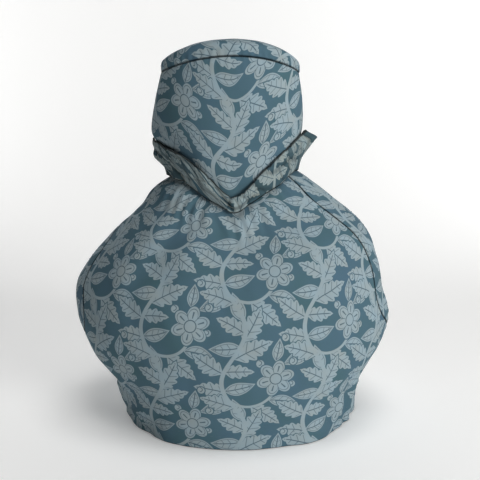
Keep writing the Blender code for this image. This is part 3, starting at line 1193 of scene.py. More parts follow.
@dataclass
class Collar:
    """The crumpled strip that is gathered round the neck, over the foot of the bonnet."""

    form: DrapedForm
    cloth: float = 0.0010
    roll: float = 0.0005
    clearance: float = 0.0004
    columns: int = 760
    rows: int = 36
    fullness: float = 1.30
    edge_crowding: float = 0.07

    # the strip's crumples: a pair is a least share, and how much more there can be
    belly: float = 0.0006
    belly_rise: tuple[float, float] = (0.08, 0.84)
    top_hug: float = 0.80
    sharpness: float = 0.975
    twists: int = 9
    twist_depth: float = 0.0018
    twist_slant: float = 1.25
    twist_drift: float = 0.32
    pleats: int = 27
    pleat_depth: float = 0.0010
    pleat_slant: float = 0.8
    pleat_drift: float = 0.50
    pleat_shift: float = 0.07
    pleat_belly: tuple[float, float] = (0.45, 0.55)
    crease_depth: float = 0.0007
    crease_width: float = 0.42

    # its edges, the places that are turned over, and the painted shade that darkens the hollows of its folds
    lip_drop: float = 0.0008
    lip_wave: tuple[float, float] = (0.55, 0.45)
    lip_wave_limits: tuple[float, float] = (-1.0, 1.2)
    lip_flare: float = 1.4
    edge_wave: float = 0.0007
    edge_wave_shift: float = 0.05
    notch_depth: float = 0.0012
    notch_width: float = 0.35
    notch_shift: float = 0.09
    turned_phase: float = 0.8
    turned_start: float = 0.80
    twist_groove: float = 0.30
    pleat_groove: float = 0.25
    pleat_groove_depth: float = 0.6
    crease_groove_depth: float = 0.5
    groove_strength: tuple[float, float] = (0.35, 0.65)

    # its ears, its cut and its uneven waves
    ear_hollow: float = 1.7
    ear_fold_back: float = 0.9
    ears: tuple[Ear, ...] = (Ear(90.0, 19.0, 24.0, 0.0078, 0.80), Ear(-90.0, 15.0, 14.0, 0.0026, 0.58))
    edge_rows: EdgeRows = field(default_factory=EdgeRows)
    cut: Cut = Cut(0.406, 0.024, 0.0065, (0.004, 0.013))
    drift: Crumple = field(default_factory=lambda: Crumple(21, 0.034))
    crumple: Crumple = field(default_factory=lambda: Crumple(22, 0.014))
    edge: Crumple = field(default_factory=lambda: Crumple(23, 0.014))

    def top(self, angle: Array) -> Array:
        """Share of the bonnet at which the strip's top edge lies, and how crumpled the strip is."""
        return smooth_columns(COLLAR_TOPS, turn_from(Side.FRONT.value, angle))

    def smooth(self, angle: Array, share: Array) -> Array:
        """The strip before it is crumpled."""
        return self.form.bonnet(angle, self.top(angle)[0] * share, self.cloth + self.clearance)

    def sharp(self, phase: Array) -> Array:
        """Straight-sided folds between 0 and 1, one for each whole phase."""
        bent = np.arcsin(self.sharpness * np.sin(2 * math.pi * phase))
        return 0.5 + bent / (2 * math.asin(self.sharpness))

    def ear_puff(self, angle: Array, share: Array) -> Array:
        """Puffs the strip out at its ears, where its top folds back on the bonnet.

        Args:
            angle: Angles of the points.
            share: Their shares of the strip's height.

        Returns:
            How far each point puffs out.
        """
        total = np.zeros_like(share)
        for ear in self.ears:
            turn = turn_from(ear.angle, angle)
            reach = np.where(turn < 0, ear.reach_before, ear.reach_after)
            rise = np.minimum(share / ear.crest, 1.0) ** self.ear_hollow
            fold_back = 1 - self.ear_fold_back * smooth_step(ear.crest, 1.0, share)
            total += ear.stand * rise * fold_back * np.exp(-((turn / reach) ** 2))
        return total

    def folds(self, angle: Array, share: Array) -> tuple[Array, Array, Array, Array]:
        """Works out how the strip is crumpled.

        Args:
            angle: Angles of the points.
            share: Shares of the strip's height.

        Returns:
            How far the points stand out of the smooth strip, how far they rise, how far the strip is turned
            over there, so that its wrong side shows, and the painted shade of the hollows they lie in.
        """
        place = self.smooth(angle, share)
        turn = angle / 360.0
        drift = self.twist_drift * self.drift.soft(place)
        long_phase = self.twists * turn + self.twist_slant * share + drift
        long_fold = self.sharp(long_phase)
        drift = self.pleat_drift * self.drift.soft(place + self.pleat_shift)
        pleat = self.sharp(self.pleats * turn + self.pleat_slant * share - drift)
        creases = self.crumple.creased(place, self.crease_width)
        tight = self.top(angle)[1]
        least, more = self.belly_rise
        belly = np.sin(math.pi * (least + more * share))
        hug = 1 - self.top_hug * share**3
        stand = self.belly * belly
        stand = stand + self.twist_depth * tight * long_fold * belly
        least, more = self.pleat_belly
        stand = stand + self.pleat_depth * tight * pleat * hug * (least + more * belly)
        stand = stand + self.crease_depth * (1 - creases) * tight * hug
        stand = stand + self.ear_puff(angle, share)
        foot = place.copy()
        foot[..., 2] = 0.0
        least, more = self.lip_wave
        drop = self.lip_drop * (least + more * np.clip(self.edge.soft(foot), *self.lip_wave_limits))
        stand = stand + self.lip_flare * drop * (1 - share) ** 2
        notches = self.edge.creased(foot + self.notch_shift, self.notch_width)
        wave = self.edge_wave * self.edge.soft(foot + self.edge_wave_shift) - self.notch_depth * notches
        rise = share**2 * wave * tight - drop * (1 - share) ** 2
        turned = np.sin(math.pi * long_phase + self.turned_phase)
        turned = smooth_step(self.turned_start, 1.0, turned) * belly * tight
        # painted shade: the hollows of the twists, pleats and creases are darkened, where shade falls in
        # them
        fold_shade_mask = (1 - smooth_step(0.0, self.twist_groove, long_fold)) * belly
        fold_shade_mask = fold_shade_mask + self.pleat_groove_depth * (1 - smooth_step(0.0, self.pleat_groove, pleat))
        fold_shade_mask = np.clip(fold_shade_mask + self.crease_groove_depth * creases, 0.0, 1.0)
        least, more = self.groove_strength
        return stand, rise, turned, fold_shade_mask * (least + more * tight)

    def build(self, finishes: "Finishes") -> None:
        """Args:
            finishes: The cosy's finishes.
        """
        share = self.edge_rows.between(0.0, 1.0, self.edge_crowding, self.rows)
        angle = np.linspace(0.0, 360.0, self.columns + 1)
        angle, share = (np.array(x) for x in np.broadcast_arrays(angle[None, :], share[:, None]))
        stand, rise, turned, fold_shade_mask = self.folds(angle, share)
        points = self.form.bonnet(angle, self.top(angle)[0] * share, self.cloth + self.clearance + stand)
        points[..., 2] += rise
        points[:, -1] = points[:, 0]
        flat = smooth_flat(self.form, self.smooth, Side.FRONT, angle, share)
        flat[..., 0] *= self.fullness
        patch = Patch(points, self.cut.shifted(flat), turned, fold_shade_mask)
        piece = sewn("neck_collar_cloth", self.cloth, self.roll, [patch])
        finishes.collar.dress(piece)
        declare(piece)


@dataclass
class Stitches:
    """Rows of short, slightly flattened hand stitches that lie on the cloth along a path."""

    length: float = 0.0021
    gap: float = 0.0016
    thread: float = 0.00034
    half_height_share: float = 0.42
    sunk: float = 0.00009
    around: int = 8
    rings: int = 6
    tree: bpy.types.NodeTree | None = None
    sockets: dict[str, str] = field(default_factory=dict)

    def grow_tree(self) -> bpy.types.NodeTree:
        """Builds the tree that lays stitches along a path.

        Returns:
            The tree, whose inputs are the stitches' sizes and their finish.
        """
        tree = bpy.data.node_groups.new("rows_of_stitches", "GeometryNodeTree")
        bench = Bench(tree)
        face = tree.interface
        face.new_socket("Path", in_out="INPUT", socket_type="NodeSocketGeometry")
        for name, kind in (
            ("Stitch Length", "NodeSocketFloat"),
            ("Gap", "NodeSocketFloat"),
            ("Thread", "NodeSocketFloat"),
            ("Finish", "NodeSocketMaterial"),
        ):
            self.sockets[name] = face.new_socket(name, in_out="INPUT", socket_type=kind).identifier
        face.new_socket("Stitches", in_out="OUTPUT", socket_type="NodeSocketGeometry")
        given = bench.node("NodeGroupInput")
        length, thread = (Value(bench, given.outputs[name]) for name in ("Stitch Length", "Thread"))
        pitch = length + Value(bench, given.outputs["Gap"])
        curve = bench.node("GeometryNodeMeshToCurve", values={"Mesh": given.outputs["Path"]})
        places = bench.node(
            "GeometryNodeResampleCurve", {"mode": "LENGTH"},
            {"Curve": curve.outputs["Curve"], "Length": pitch},
        )
        outward = bench.node(
            "GeometryNodeInputNamedAttribute", {"data_type": "FLOAT_VECTOR"}, {"Name": OUTWARD}
        )
        upright = bench.node(
            "FunctionNodeAlignRotationToVector", {"axis": "Z"}, {"Vector": outward.outputs["Attribute"]}
        )
        tangent = bench.node("GeometryNodeInputTangent")
        lying = bench.node(
            "FunctionNodeAlignRotationToVector", {"axis": "X", "pivot_axis": "Z"},
            {"Rotation": upright.outputs["Rotation"], "Vector": tangent.outputs["Tangent"]},
        )
        bead = bench.node(
            "GeometryNodeMeshUVSphere", values={"Segments": self.around, "Rings": self.rings, "Radius": 1.0}
        )
        size = bench.node(
            "ShaderNodeCombineXYZ",
            values={"X": length * 0.5, "Y": thread * 0.5, "Z": thread * self.half_height_share},
        )
        laid = bench.node(
            "GeometryNodeInstanceOnPoints",
            values={
                "Points": places.outputs["Curve"], "Instance": bead.outputs["Mesh"],
                "Rotation": lying.outputs["Rotation"], "Scale": size.outputs["Vector"],
            },
        )
        real = bench.node("GeometryNodeRealizeInstances", values={"Geometry": laid.outputs["Instances"]})
        rounded = bench.node("GeometryNodeSetShadeSmooth", values={"Geometry": real.outputs["Geometry"]})
        dressed = bench.node(
            "GeometryNodeSetMaterial",
            values={"Geometry": rounded.outputs["Geometry"], "Material": given.outputs["Finish"]},
        )
        bench.node("NodeGroupOutput", values={"Stitches": dressed.outputs["Geometry"]})
        return tree

    def along(
        self, name: str, path: Array, form: DrapedForm, finish: bpy.types.Material
    ) -> bpy.types.Object:
        """Lays stitches along a path on the body.

        Args:
            name: Name of the piece.
            path: Points on the outside of the cloth.
            form: The form, whose axis the stitches face away from.
            finish: The thread's material.

        Returns:
            The stitches as one plain mesh.
        """
        self.tree = self.tree or self.grow_tree()
        outward = form.outward(path)
        points = path - outward * self.sunk
        line = bpy.data.meshes.new(f"{name}_path")
        line.from_pydata(points.tolist(), [(i, i + 1) for i in range(len(points) - 1)], [])
        attribute = line.attributes.new(OUTWARD, "FLOAT_VECTOR", "POINT")
        attribute.data.foreach_set("vector", outward.ravel())
        piece = linked(name, line)
        sewer = piece.modifiers.new("stitches", "NODES")
        sewer.node_group = self.tree
        for key, value in (("Stitch Length", self.length), ("Gap", self.gap), ("Thread", self.thread)):
            sewer[self.sockets[key]] = value
        sewer[self.sockets["Finish"]] = finish
        graph = bpy.context.evaluated_depsgraph_get()
        mesh = bpy.data.meshes.new_from_object(piece.evaluated_get(graph))
        piece.modifiers.clear()
        piece.data = mesh
        mesh.name = name
        log.info("%s: %d faces", name, len(mesh.polygons))
        return piece


# ---------------------------------------- node maths

Operand = Union["Value", bpy.types.NodeSocket, float]
Paint = Union[bpy.types.NodeSocket, Colour]


class Bench:
    """Adds nodes to one tree and sets them out in columns."""

    column: int = 12
    pitch: tuple[int, int] = (200, -180)
    noise_roughness: float = 0.55

    def __init__(self, tree: bpy.types.NodeTree) -> None:
        """Takes the tree that the nodes go into."""
        self.tree = tree

    def node(self, kind: str, settings: dict | None = None, values: dict | None = None) -> bpy.types.Node:
        """Adds one node.

        Args:
            kind: The node's type.
            settings: Its settings, which are set first.
            values: Values or links for its inputs, by name or number.

        Returns:
            The node.
        """
        node = self.tree.nodes.new(kind)
        across, down = divmod(len(self.tree.nodes), self.column)
        node.location = (self.pitch[0] * across, self.pitch[1] * down)
        for key, setting in (settings or {}).items():
            setattr(node, key, setting)
        for key, value in (values or {}).items():
            socket = node.inputs[key]
            value = value.socket if isinstance(value, Value) else value
            if isinstance(value, bpy.types.NodeSocket):
                self.tree.links.new(value, socket)
            else:
                socket.default_value = value
        return node

    def link(self, source: "Value | bpy.types.NodeSocket", target: bpy.types.NodeSocket) -> None:
        """Joins a value or a socket to an input."""
        self.tree.links.new(source.socket if isinstance(source, Value) else source, target)

    def attribute(self, name: str) -> "Value":
        """Reads a number that the mesh carries at its points."""
        return Value(self, self.node("ShaderNodeAttribute", {"attribute_name": name}).outputs["Fac"])

    def blend(self, first: Paint, second: Paint, share: Operand) -> bpy.types.NodeSocket:
        """Mixes two colours, each given as a colour or a socket.

        Args:
            first: The colour at a share of 0.
            second: The colour at a share of 1.
            share: The share.

        Returns:
            The mixed colour.
        """
        first, second = ((*c, 1.0) if isinstance(c, tuple) else c for c in (first, second))
        mix = self.node("ShaderNodeMix", {"data_type": "RGBA"}, {0: share, 6: first, 7: second})
        return mix.outputs[2]

    def brighten(self, colour: bpy.types.NodeSocket, factor: Operand) -> bpy.types.NodeSocket:
        """Makes a colour lighter or darker by a factor."""
        scaled = self.node("ShaderNodeVectorMath", {"operation": "SCALE"}, {0: colour, "Scale": factor})
        return scaled.outputs["Vector"]

    def noise(self, place: bpy.types.NodeSocket, scale: float, detail: float = 2.0) -> "Value":
        """Reads an uneven value from 0 to 1.

        Args:
            place: Where it is read.
            scale: How often it changes in a metre.
            detail: How much finer unevenness it has.

        Returns:
            The value.
        """
        texture = self.node(
            "ShaderNodeTexNoise",
            values={"Vector": place, "Scale": scale, "Detail": detail, "Roughness": self.noise_roughness},
        )
        return Value(self, texture.outputs["Fac"])


class Value:
    """A number that varies over a surface: a socket, with operators that add Math nodes."""

    def __init__(self, bench: Bench, socket: bpy.types.NodeSocket) -> None:
        """Takes the socket that carries the number."""
        self.bench, self.socket = bench, socket

    def math(self, operation: str, *operands: Operand, clamp: bool = False) -> "Value":
        """Adds a Math node.

        Args:
            operation: What it works out.
            operands: Its inputs, in order.
            clamp: Whether its result is kept between 0 and 1.

        Returns:
            Its result.
        """
        values = dict(enumerate(operands))
        node = self.bench.node("ShaderNodeMath", {"operation": operation, "use_clamp": clamp}, values)
        return Value(self.bench, node.outputs["Value"])

    def __add__(self, other: Operand) -> "Value":
        """Adds."""
        return self.math("ADD", self, other)

    def __sub__(self, other: Operand) -> "Value":
        """Takes away."""
        return self.math("SUBTRACT", self, other)

    def __rsub__(self, other: Operand) -> "Value":
        """Is taken away."""
        return self.math("SUBTRACT", other, self)

    def __mul__(self, other: Operand) -> "Value":
        """Multiplies."""
        return self.math("MULTIPLY", self, other)

    def __abs__(self) -> "Value":
        """Drops the sign."""
        return self.math("ABSOLUTE", self)

    def times_plus(self, factor: Operand, more: Operand) -> "Value":
        """Multiplies by a factor and adds."""
        return self.math("MULTIPLY_ADD", self, factor, more)

    def sine(self) -> "Value":
        """The sine."""
        return self.math("SINE", self)

    def cosine(self) -> "Value":
        """The cosine."""
        return self.math("COSINE", self)

    def length_with(self, across: "Value") -> "Value":
        """The distance of a point at (this, across) from the middle."""
        return self.math("SQRT", self * self + across * across)

    def bearing(self, along: "Value") -> "Value":
        """The angle of a point at (along, this), in radians."""
        return self.math("ARCTAN2", self, along)

    def wrapped(self, half: float) -> "Value":
        """The same place on a strip that repeats, counted from its middle."""
        return self.math("WRAP", self, half, -half)

    def folded(self, span: float) -> "Value":
        """Runs up and down between 0 and a span."""
        return self.math("PINGPONG", self, span)

    def at_least(self, other: Operand) -> "Value":
        """The larger of two."""
        return self.math("MAXIMUM", self, other)

    def at_most(self, other: Operand) -> "Value":
        """The smaller of two."""
        return self.math("MINIMUM", self, other)

    def clipped(self) -> "Value":
        """Kept between 0 and 1."""
        return self.at_least(0.0).at_most(1.0)

    def step(self, soft: float) -> "Value":
        """Rises from 0 to 1 across zero, over a soft width."""
        return self.math("MULTIPLY_ADD", self, 1 / soft, 0.5, clamp=True)


# ---------------------------------------- the print


class Leaf(NamedTuple):
    """A leaf of the print, in millimetres and degrees: its foot, size, lobes on a side, and bend."""

    x: float
    y: float
    turn: float
    length: float
    width: float
    lobes: int
    bend: float


class Flower(NamedTuple):
    """A round flower of the print, in millimetres and degrees."""

    x: float
    y: float
    radius: float
    petals: int
    turn: float


class Berry(NamedTuple):
    """A berry of the print, in millimetres."""

    x: float
    y: float
    radius: float


class Stalk(NamedTuple):
    """An arc that carries a flower, in millimetres and degrees."""

    x: float
    y: float
    radius: float
    start: float
    end: float
    width: float


class Motif(NamedTuple):
    """What a motif covers, the dark lines in it, and the cover of a slightly larger one."""

    fill: Value
    line: Value
    halo: Value


@dataclass(frozen=True)
class LeafPrint:
    """A half-drop print of winding stems with leaves, flowers and berries, in millimetres."""

    # the repeat, the soft edge of a print, and the bare line round each motif
    width: float = 50.0
    drop: float = 64.0
    scale: float = 0.88
    soft: float = 0.22
    halo: float = 0.62
    wobble: float = 0.34
    wobble_scale: float = 160.0

    # stems
    stem_swing: float = 7.0
    stem_width: float = 2.3
    stem_slant: float = 0.85

    # leaves
    leaf_taper: float = 0.75
    leaf_fullness: float = 1.42
    leaf_thinnest: float = 0.1
    leaf_breadth: float = 1.95
    lobe_depth: float = 0.36
    rib_width: float = 0.30
    rib_steps: float = 18.0
    rib_span: tuple[float, float] = (0.8, 15.5)
    plain_veins: float = 4.6
    vein_slant: float = 0.62
    vein_width: float = 0.055
    vein_soft: float = 0.06
    vein_inset: float = 0.9
    vein_inset_soft: float = 0.5
    vein_steps: float = 9.0
    vein_start: float = 1.2
    vein_strength: float = 0.8
    rim_inset: float = 0.95
    rim_width: float = 0.20
    rim_strength: float = 0.75

    # flowers: a start, a span and a size are shares of the flower's radius
    petal_depth: float = 0.38
    eye_size: float = 0.30
    eye_width: float = 0.30
    petal_rim_inset: float = 1.5
    petal_rim_width: float = 0.28
    petal_rim_strength: float = 0.8
    parting_width: float = 0.10
    parting_soft: float = 0.08
    parting_start: float = 0.34
    ray_width: float = 0.015
    ray_soft: float = 0.02
    ray_span: tuple[float, float] = (0.40, 0.72)

    # the curved line in a berry, whose place and radius are shares of the berry's radius
    curve_middle: tuple[float, float] = (-0.25, 0.2)
    curve_radius: float = 0.62
    curve_width: float = 0.24
    curve_start: float = 0.1

    leaves: tuple[Leaf, ...] = (
        Leaf(-3.5, -29.0, 205.0, 19.0, 8.6, 0, 0.15),
        Leaf(10.0, -32.5, -38.0, 23.0, 10.5, 5, 0.10),
        Leaf(21.0, -28.5, -14.0, 19.0, 8.0, 0, 0.20),
        Leaf(-5.5, -21.0, 14.0, 19.0, 8.0, 0, -0.20),
        Leaf(-5.0, -22.0, 170.0, 19.0, 8.8, 4, -0.10),
        Leaf(-6.0, -10.0, 146.0, 22.0, 10.5, 5, 0.12),
        Leaf(-5.6, -9.0, 0.0, 18.0, 8.2, 4, 0.10),
        Leaf(0.5, -1.0, 24.0, 25.0, 11.5, 5, 0.10),
        Leaf(5.5, 9.0, 62.0, 23.0, 11.0, 5, -0.10),
        Leaf(4.5, 6.0, 184.0, 19.0, 8.0, 0, 0.14),
        Leaf(6.8, 14.0, 152.0, 19.0, 9.0, 4, -0.10),
        Leaf(6.0, 21.0, 112.0, 18.0, 8.0, 0, 0.12),
        Leaf(0.5, 31.0, 162.0, 22.0, 10.5, 5, -0.12),
        Leaf(25.0, -3.0, 80.0, 14.0, 6.6, 0, -0.10),
    )
    berries: tuple[Berry, ...] = (
        Berry(15.6, -4.0, 2.3),
        Berry(35.8, -3.5, 2.2),
        Berry(31.0, 11.0, 2.2),
        Berry(-15.0, 14.0, 2.0),
    )
    flowers: tuple[Flower, ...] = (Flower(25.0, -14.0, 11.6, 6, 15.0),)
    stalks: tuple[Stalk, ...] = (Stalk(9.0, -16.0, 16.5, 212.0, 330.0, 1.8),)

    def place(self, u: Value, v: Value, x: float, y: float, turn: float = 0.0) -> tuple[Value, Value]:
        """Counts a place on the cloth from the nearest repeat of a point, along a turned direction.

        Args:
            u: Place across the cloth.
            v: Place up the cloth.
            x: The point's place across.
            y: The point's place up.
            turn: The direction, in degrees.

        Returns:
            The place along the direction and across it.
        """
        across = u - x
        du = across.wrapped(self.width / 2)
        rise = (across - du).times_plus(self.drop / 2 / self.width, v)
        dv = (rise - y).wrapped(self.drop / 2)
        if turn == 0.0:
            return du, dv
        cosine, sine = math.cos(math.radians(turn)), math.sin(math.radians(turn))
        return du.times_plus(cosine, dv * sine), dv.times_plus(cosine, du * -sine)

    def leaf(self, u: Value, v: Value, leaf: Leaf) -> Motif:
        """Draws a leaf with its midrib and side veins, lobed or plain.

        Args:
            u: Places across the cloth.
            v: Places up the cloth.
            leaf: The leaf.

        Returns:
            What the leaf covers.
        """
        x, y = self.place(u, v, leaf.x, leaf.y, leaf.turn)
        t = x * (1 / leaf.length)
        rise = t * (1 - t)
        side = abs(rise.times_plus(-leaf.bend * leaf.length, y))
        taper = t.times_plus(-self.leaf_taper, self.leaf_fullness).at_least(self.leaf_thinnest)
        half = rise * taper * (leaf.width * self.leaf_breadth)
        count = leaf.lobes or self.plain_veins
        row = side.times_plus(-self.vein_slant * count / leaf.length, t * count)
        if leaf.lobes:
            half = half * abs((row * math.pi).sine()).times_plus(self.lobe_depth, 2 * self.lobe_depth)
        inside = half - side
        fill = inside.step(self.soft)
        (start, end), steps = self.rib_span, self.rib_steps
        rib = (self.rib_width - side).step(self.soft) * (t * steps - start).step(1)
        rib = rib * (end - t * steps).step(1)
        twig = (row + 0.5).folded(0.5)
        veins = (self.vein_width - twig).step(self.vein_soft)
        veins = veins * (inside - self.vein_inset).step(self.vein_inset_soft)
        veins = veins * (t * self.vein_steps - self.vein_start).step(1)
        line = rib.at_least(veins * self.vein_strength)
        if not leaf.lobes:
            rim = (self.rim_width - abs(inside - self.rim_inset)).step(self.soft)
            line = line.at_least(rim * self.rim_strength)
        return Motif(fill, line * fill, (inside + self.halo).step(self.soft))

    def flower(self, u: Value, v: Value, flower: Flower) -> Motif:
        """Draws a flower with its eye and a ray in each petal.

        Args:
            u: Places across the cloth.
            v: Places up the cloth.
            flower: The flower.

        Returns:
            What the flower covers.
        """
        x, y = self.place(u, v, flower.x, flower.y, flower.turn)
        radius, reach = x.length_with(y), flower.radius
        petal = abs((y.bearing(x) * (flower.petals / 2)).cosine())
        edge = petal.times_plus(reach * self.petal_depth, reach * (1 - self.petal_depth))
        eye = (self.eye_width - abs(radius - reach * self.eye_size)).step(self.soft)
        rim = (self.petal_rim_width - abs(edge - radius - self.petal_rim_inset)).step(self.soft)
        rim = rim * self.petal_rim_strength
        parting = (self.parting_width - petal).step(self.parting_soft)
        parting = parting * (radius - reach * self.parting_start).step(self.soft)
        start, end = self.ray_span
        ray = (petal - (1 - self.ray_width)).step(self.ray_soft) * (radius - reach * start).step(self.soft)
        ray = ray * (reach * end - radius).step(self.soft)
        fill = (edge - radius).step(self.soft)
        line = eye.at_least(rim).at_least(parting).at_least(ray)
        return Motif(fill, line * fill, (edge - radius + self.halo).step(self.soft))

    def berry(self, u: Value, v: Value, berry: Berry) -> Motif:
        """Draws a berry with a curved line in it.

        Args:
            u: Places across the cloth.
            v: Places up the cloth.
            berry: The berry.

        Returns:
            What the berry covers.
        """
        x, y = self.place(u, v, berry.x, berry.y)
        radius = x.length_with(y)
        fill = (berry.radius - radius).step(self.soft)
        x, y = (place - berry.radius * share for place, share in zip((x, y), self.curve_middle))
        away = abs(x.length_with(y) - berry.radius * self.curve_radius)
        curve = (self.curve_width - away).step(self.soft)
        line = curve * (x + berry.radius * self.curve_start).step(self.soft) * fill
        return Motif(fill, line, (berry.radius + self.halo - radius).step(self.soft))

    def stalk(self, u: Value, v: Value, stalk: Stalk) -> Value:
        """Draws an arc.

        Args:
            u: Places across the cloth.
            v: Places up the cloth.
            stalk: The arc.

        Returns:
            What it covers.
        """
        x, y = self.place(u, v, stalk.x, stalk.y, (stalk.start + stalk.end) / 2)
        radius, half = x.length_with(y), math.radians(stalk.end - stalk.start) / 2
        ends = (half - abs(y.bearing(x))) * stalk.radius
        return (stalk.width / 2 - abs(radius - stalk.radius)).step(self.soft) * ends.step(self.soft)

    def stem(self, u: Value, v: Value) -> Value:
        """Draws the winding stems.

        Args:
            u: Places across the cloth.
            v: Places up the cloth.

        Returns:
            What they cover.
        """
        du = u.wrapped(self.width / 2)
        height = (u - du).times_plus(self.drop / 2 / self.width, v)
        swing = (height * (2 * math.pi / self.drop)).sine() * self.stem_swing
        return (self.stem_width / 2 - abs(du - swing) * self.stem_slant).step(self.soft)

    def group(self) -> bpy.types.NodeTree:
        """Builds the print as a node group.

        Returns:
            The group: a place on the flat cloth in metres goes in, and the motifs' cover and their dark
            lines come out.
        """
        tree = bpy.data.node_groups.new("leaf_print", "ShaderNodeTree")
        tree.interface.new_socket("Cloth", in_out="INPUT", socket_type="NodeSocketVector")
        for name in ("Fill", "Line"):
            tree.interface.new_socket(name, in_out="OUTPUT", socket_type="NodeSocketFloat")
        bench = Bench(tree)
        cloth = bench.node("NodeGroupInput").outputs["Cloth"]
        hand = bench.node(
            "ShaderNodeTexNoise", values={"Vector": cloth, "Scale": self.wobble_scale, "Detail": 1.0}
        )
        place = bench.node("ShaderNodeSeparateXYZ", values={0: cloth})
        sway = bench.node("ShaderNodeSeparateXYZ", values={0: hand.outputs["Color"]})
        u, v = (
            Value(bench, place.outputs[axis]).times_plus(
                1 / (MM * self.scale), Value(bench, sway.outputs[axis]) * self.wobble
            )
            for axis in ("X", "Y")
        )
        fill = line = None
        for leaf in self.leaves:
            fill, line = self.over(fill, line, self.leaf(u, v, leaf))
        vine = self.stem(u, v)
        for stalk in self.stalks:
            vine = vine.at_least(self.stalk(u, v, stalk))
        fill, line = fill.at_least(vine), line * (1 - vine)
        berries = [self.berry(u, v, berry) for berry in self.berries]
        flowers = [self.flower(u, v, flower) for flower in self.flowers]
        for motif in berries + flowers:
            fill, line = self.over(fill, line, motif)
        bench.node("NodeGroupOutput", values={"Fill": fill, "Line": line})
        return tree

    @staticmethod
    def over(fill: Value | None, line: Value | None, motif: Motif) -> tuple[Value, Value]:
        """Lays a motif over what is drawn, with a line of bare ground round it.

        Args:
            fill: What is covered so far.
            line: The dark lines so far.
            motif: The motif.

        Returns:
            The cover and the dark lines with the motif.
        """
        if fill is None or line is None:
            return motif.fill, motif.line
        keep = 1 - motif.halo
        return (fill * keep).at_least(motif.fill), (line * keep).at_least(motif.line)


# ---------------------------------------- finishes


def shade(red: int, green: int, blue: int) -> Colour:
    """A colour as a shader takes it, from its three parts on a screen, 0 to 255."""
    parts = (part / 255 for part in (red, green, blue))
    return tuple(p / 12.92 if p <= 0.04045 else ((p + 0.055) / 1.055) ** 2.4 for p in parts)


def new_material(name: str) -> tuple[bpy.types.Material, Bench, bpy.types.Node]:
    """Makes an empty material.

    Args:
        name: Its name.

    Returns:
        The material, with its bench and its shader.
    """
    material = bpy.data.materials.new(name)
    material.use_nodes = True
    material.node_tree.nodes.clear()
    bench = Bench(material.node_tree)
    shader = bench.node("ShaderNodeBsdfPrincipled")
    bench.node("ShaderNodeOutputMaterial", values={"Surface": shader.outputs["BSDF"]})
    return material, bench, shader


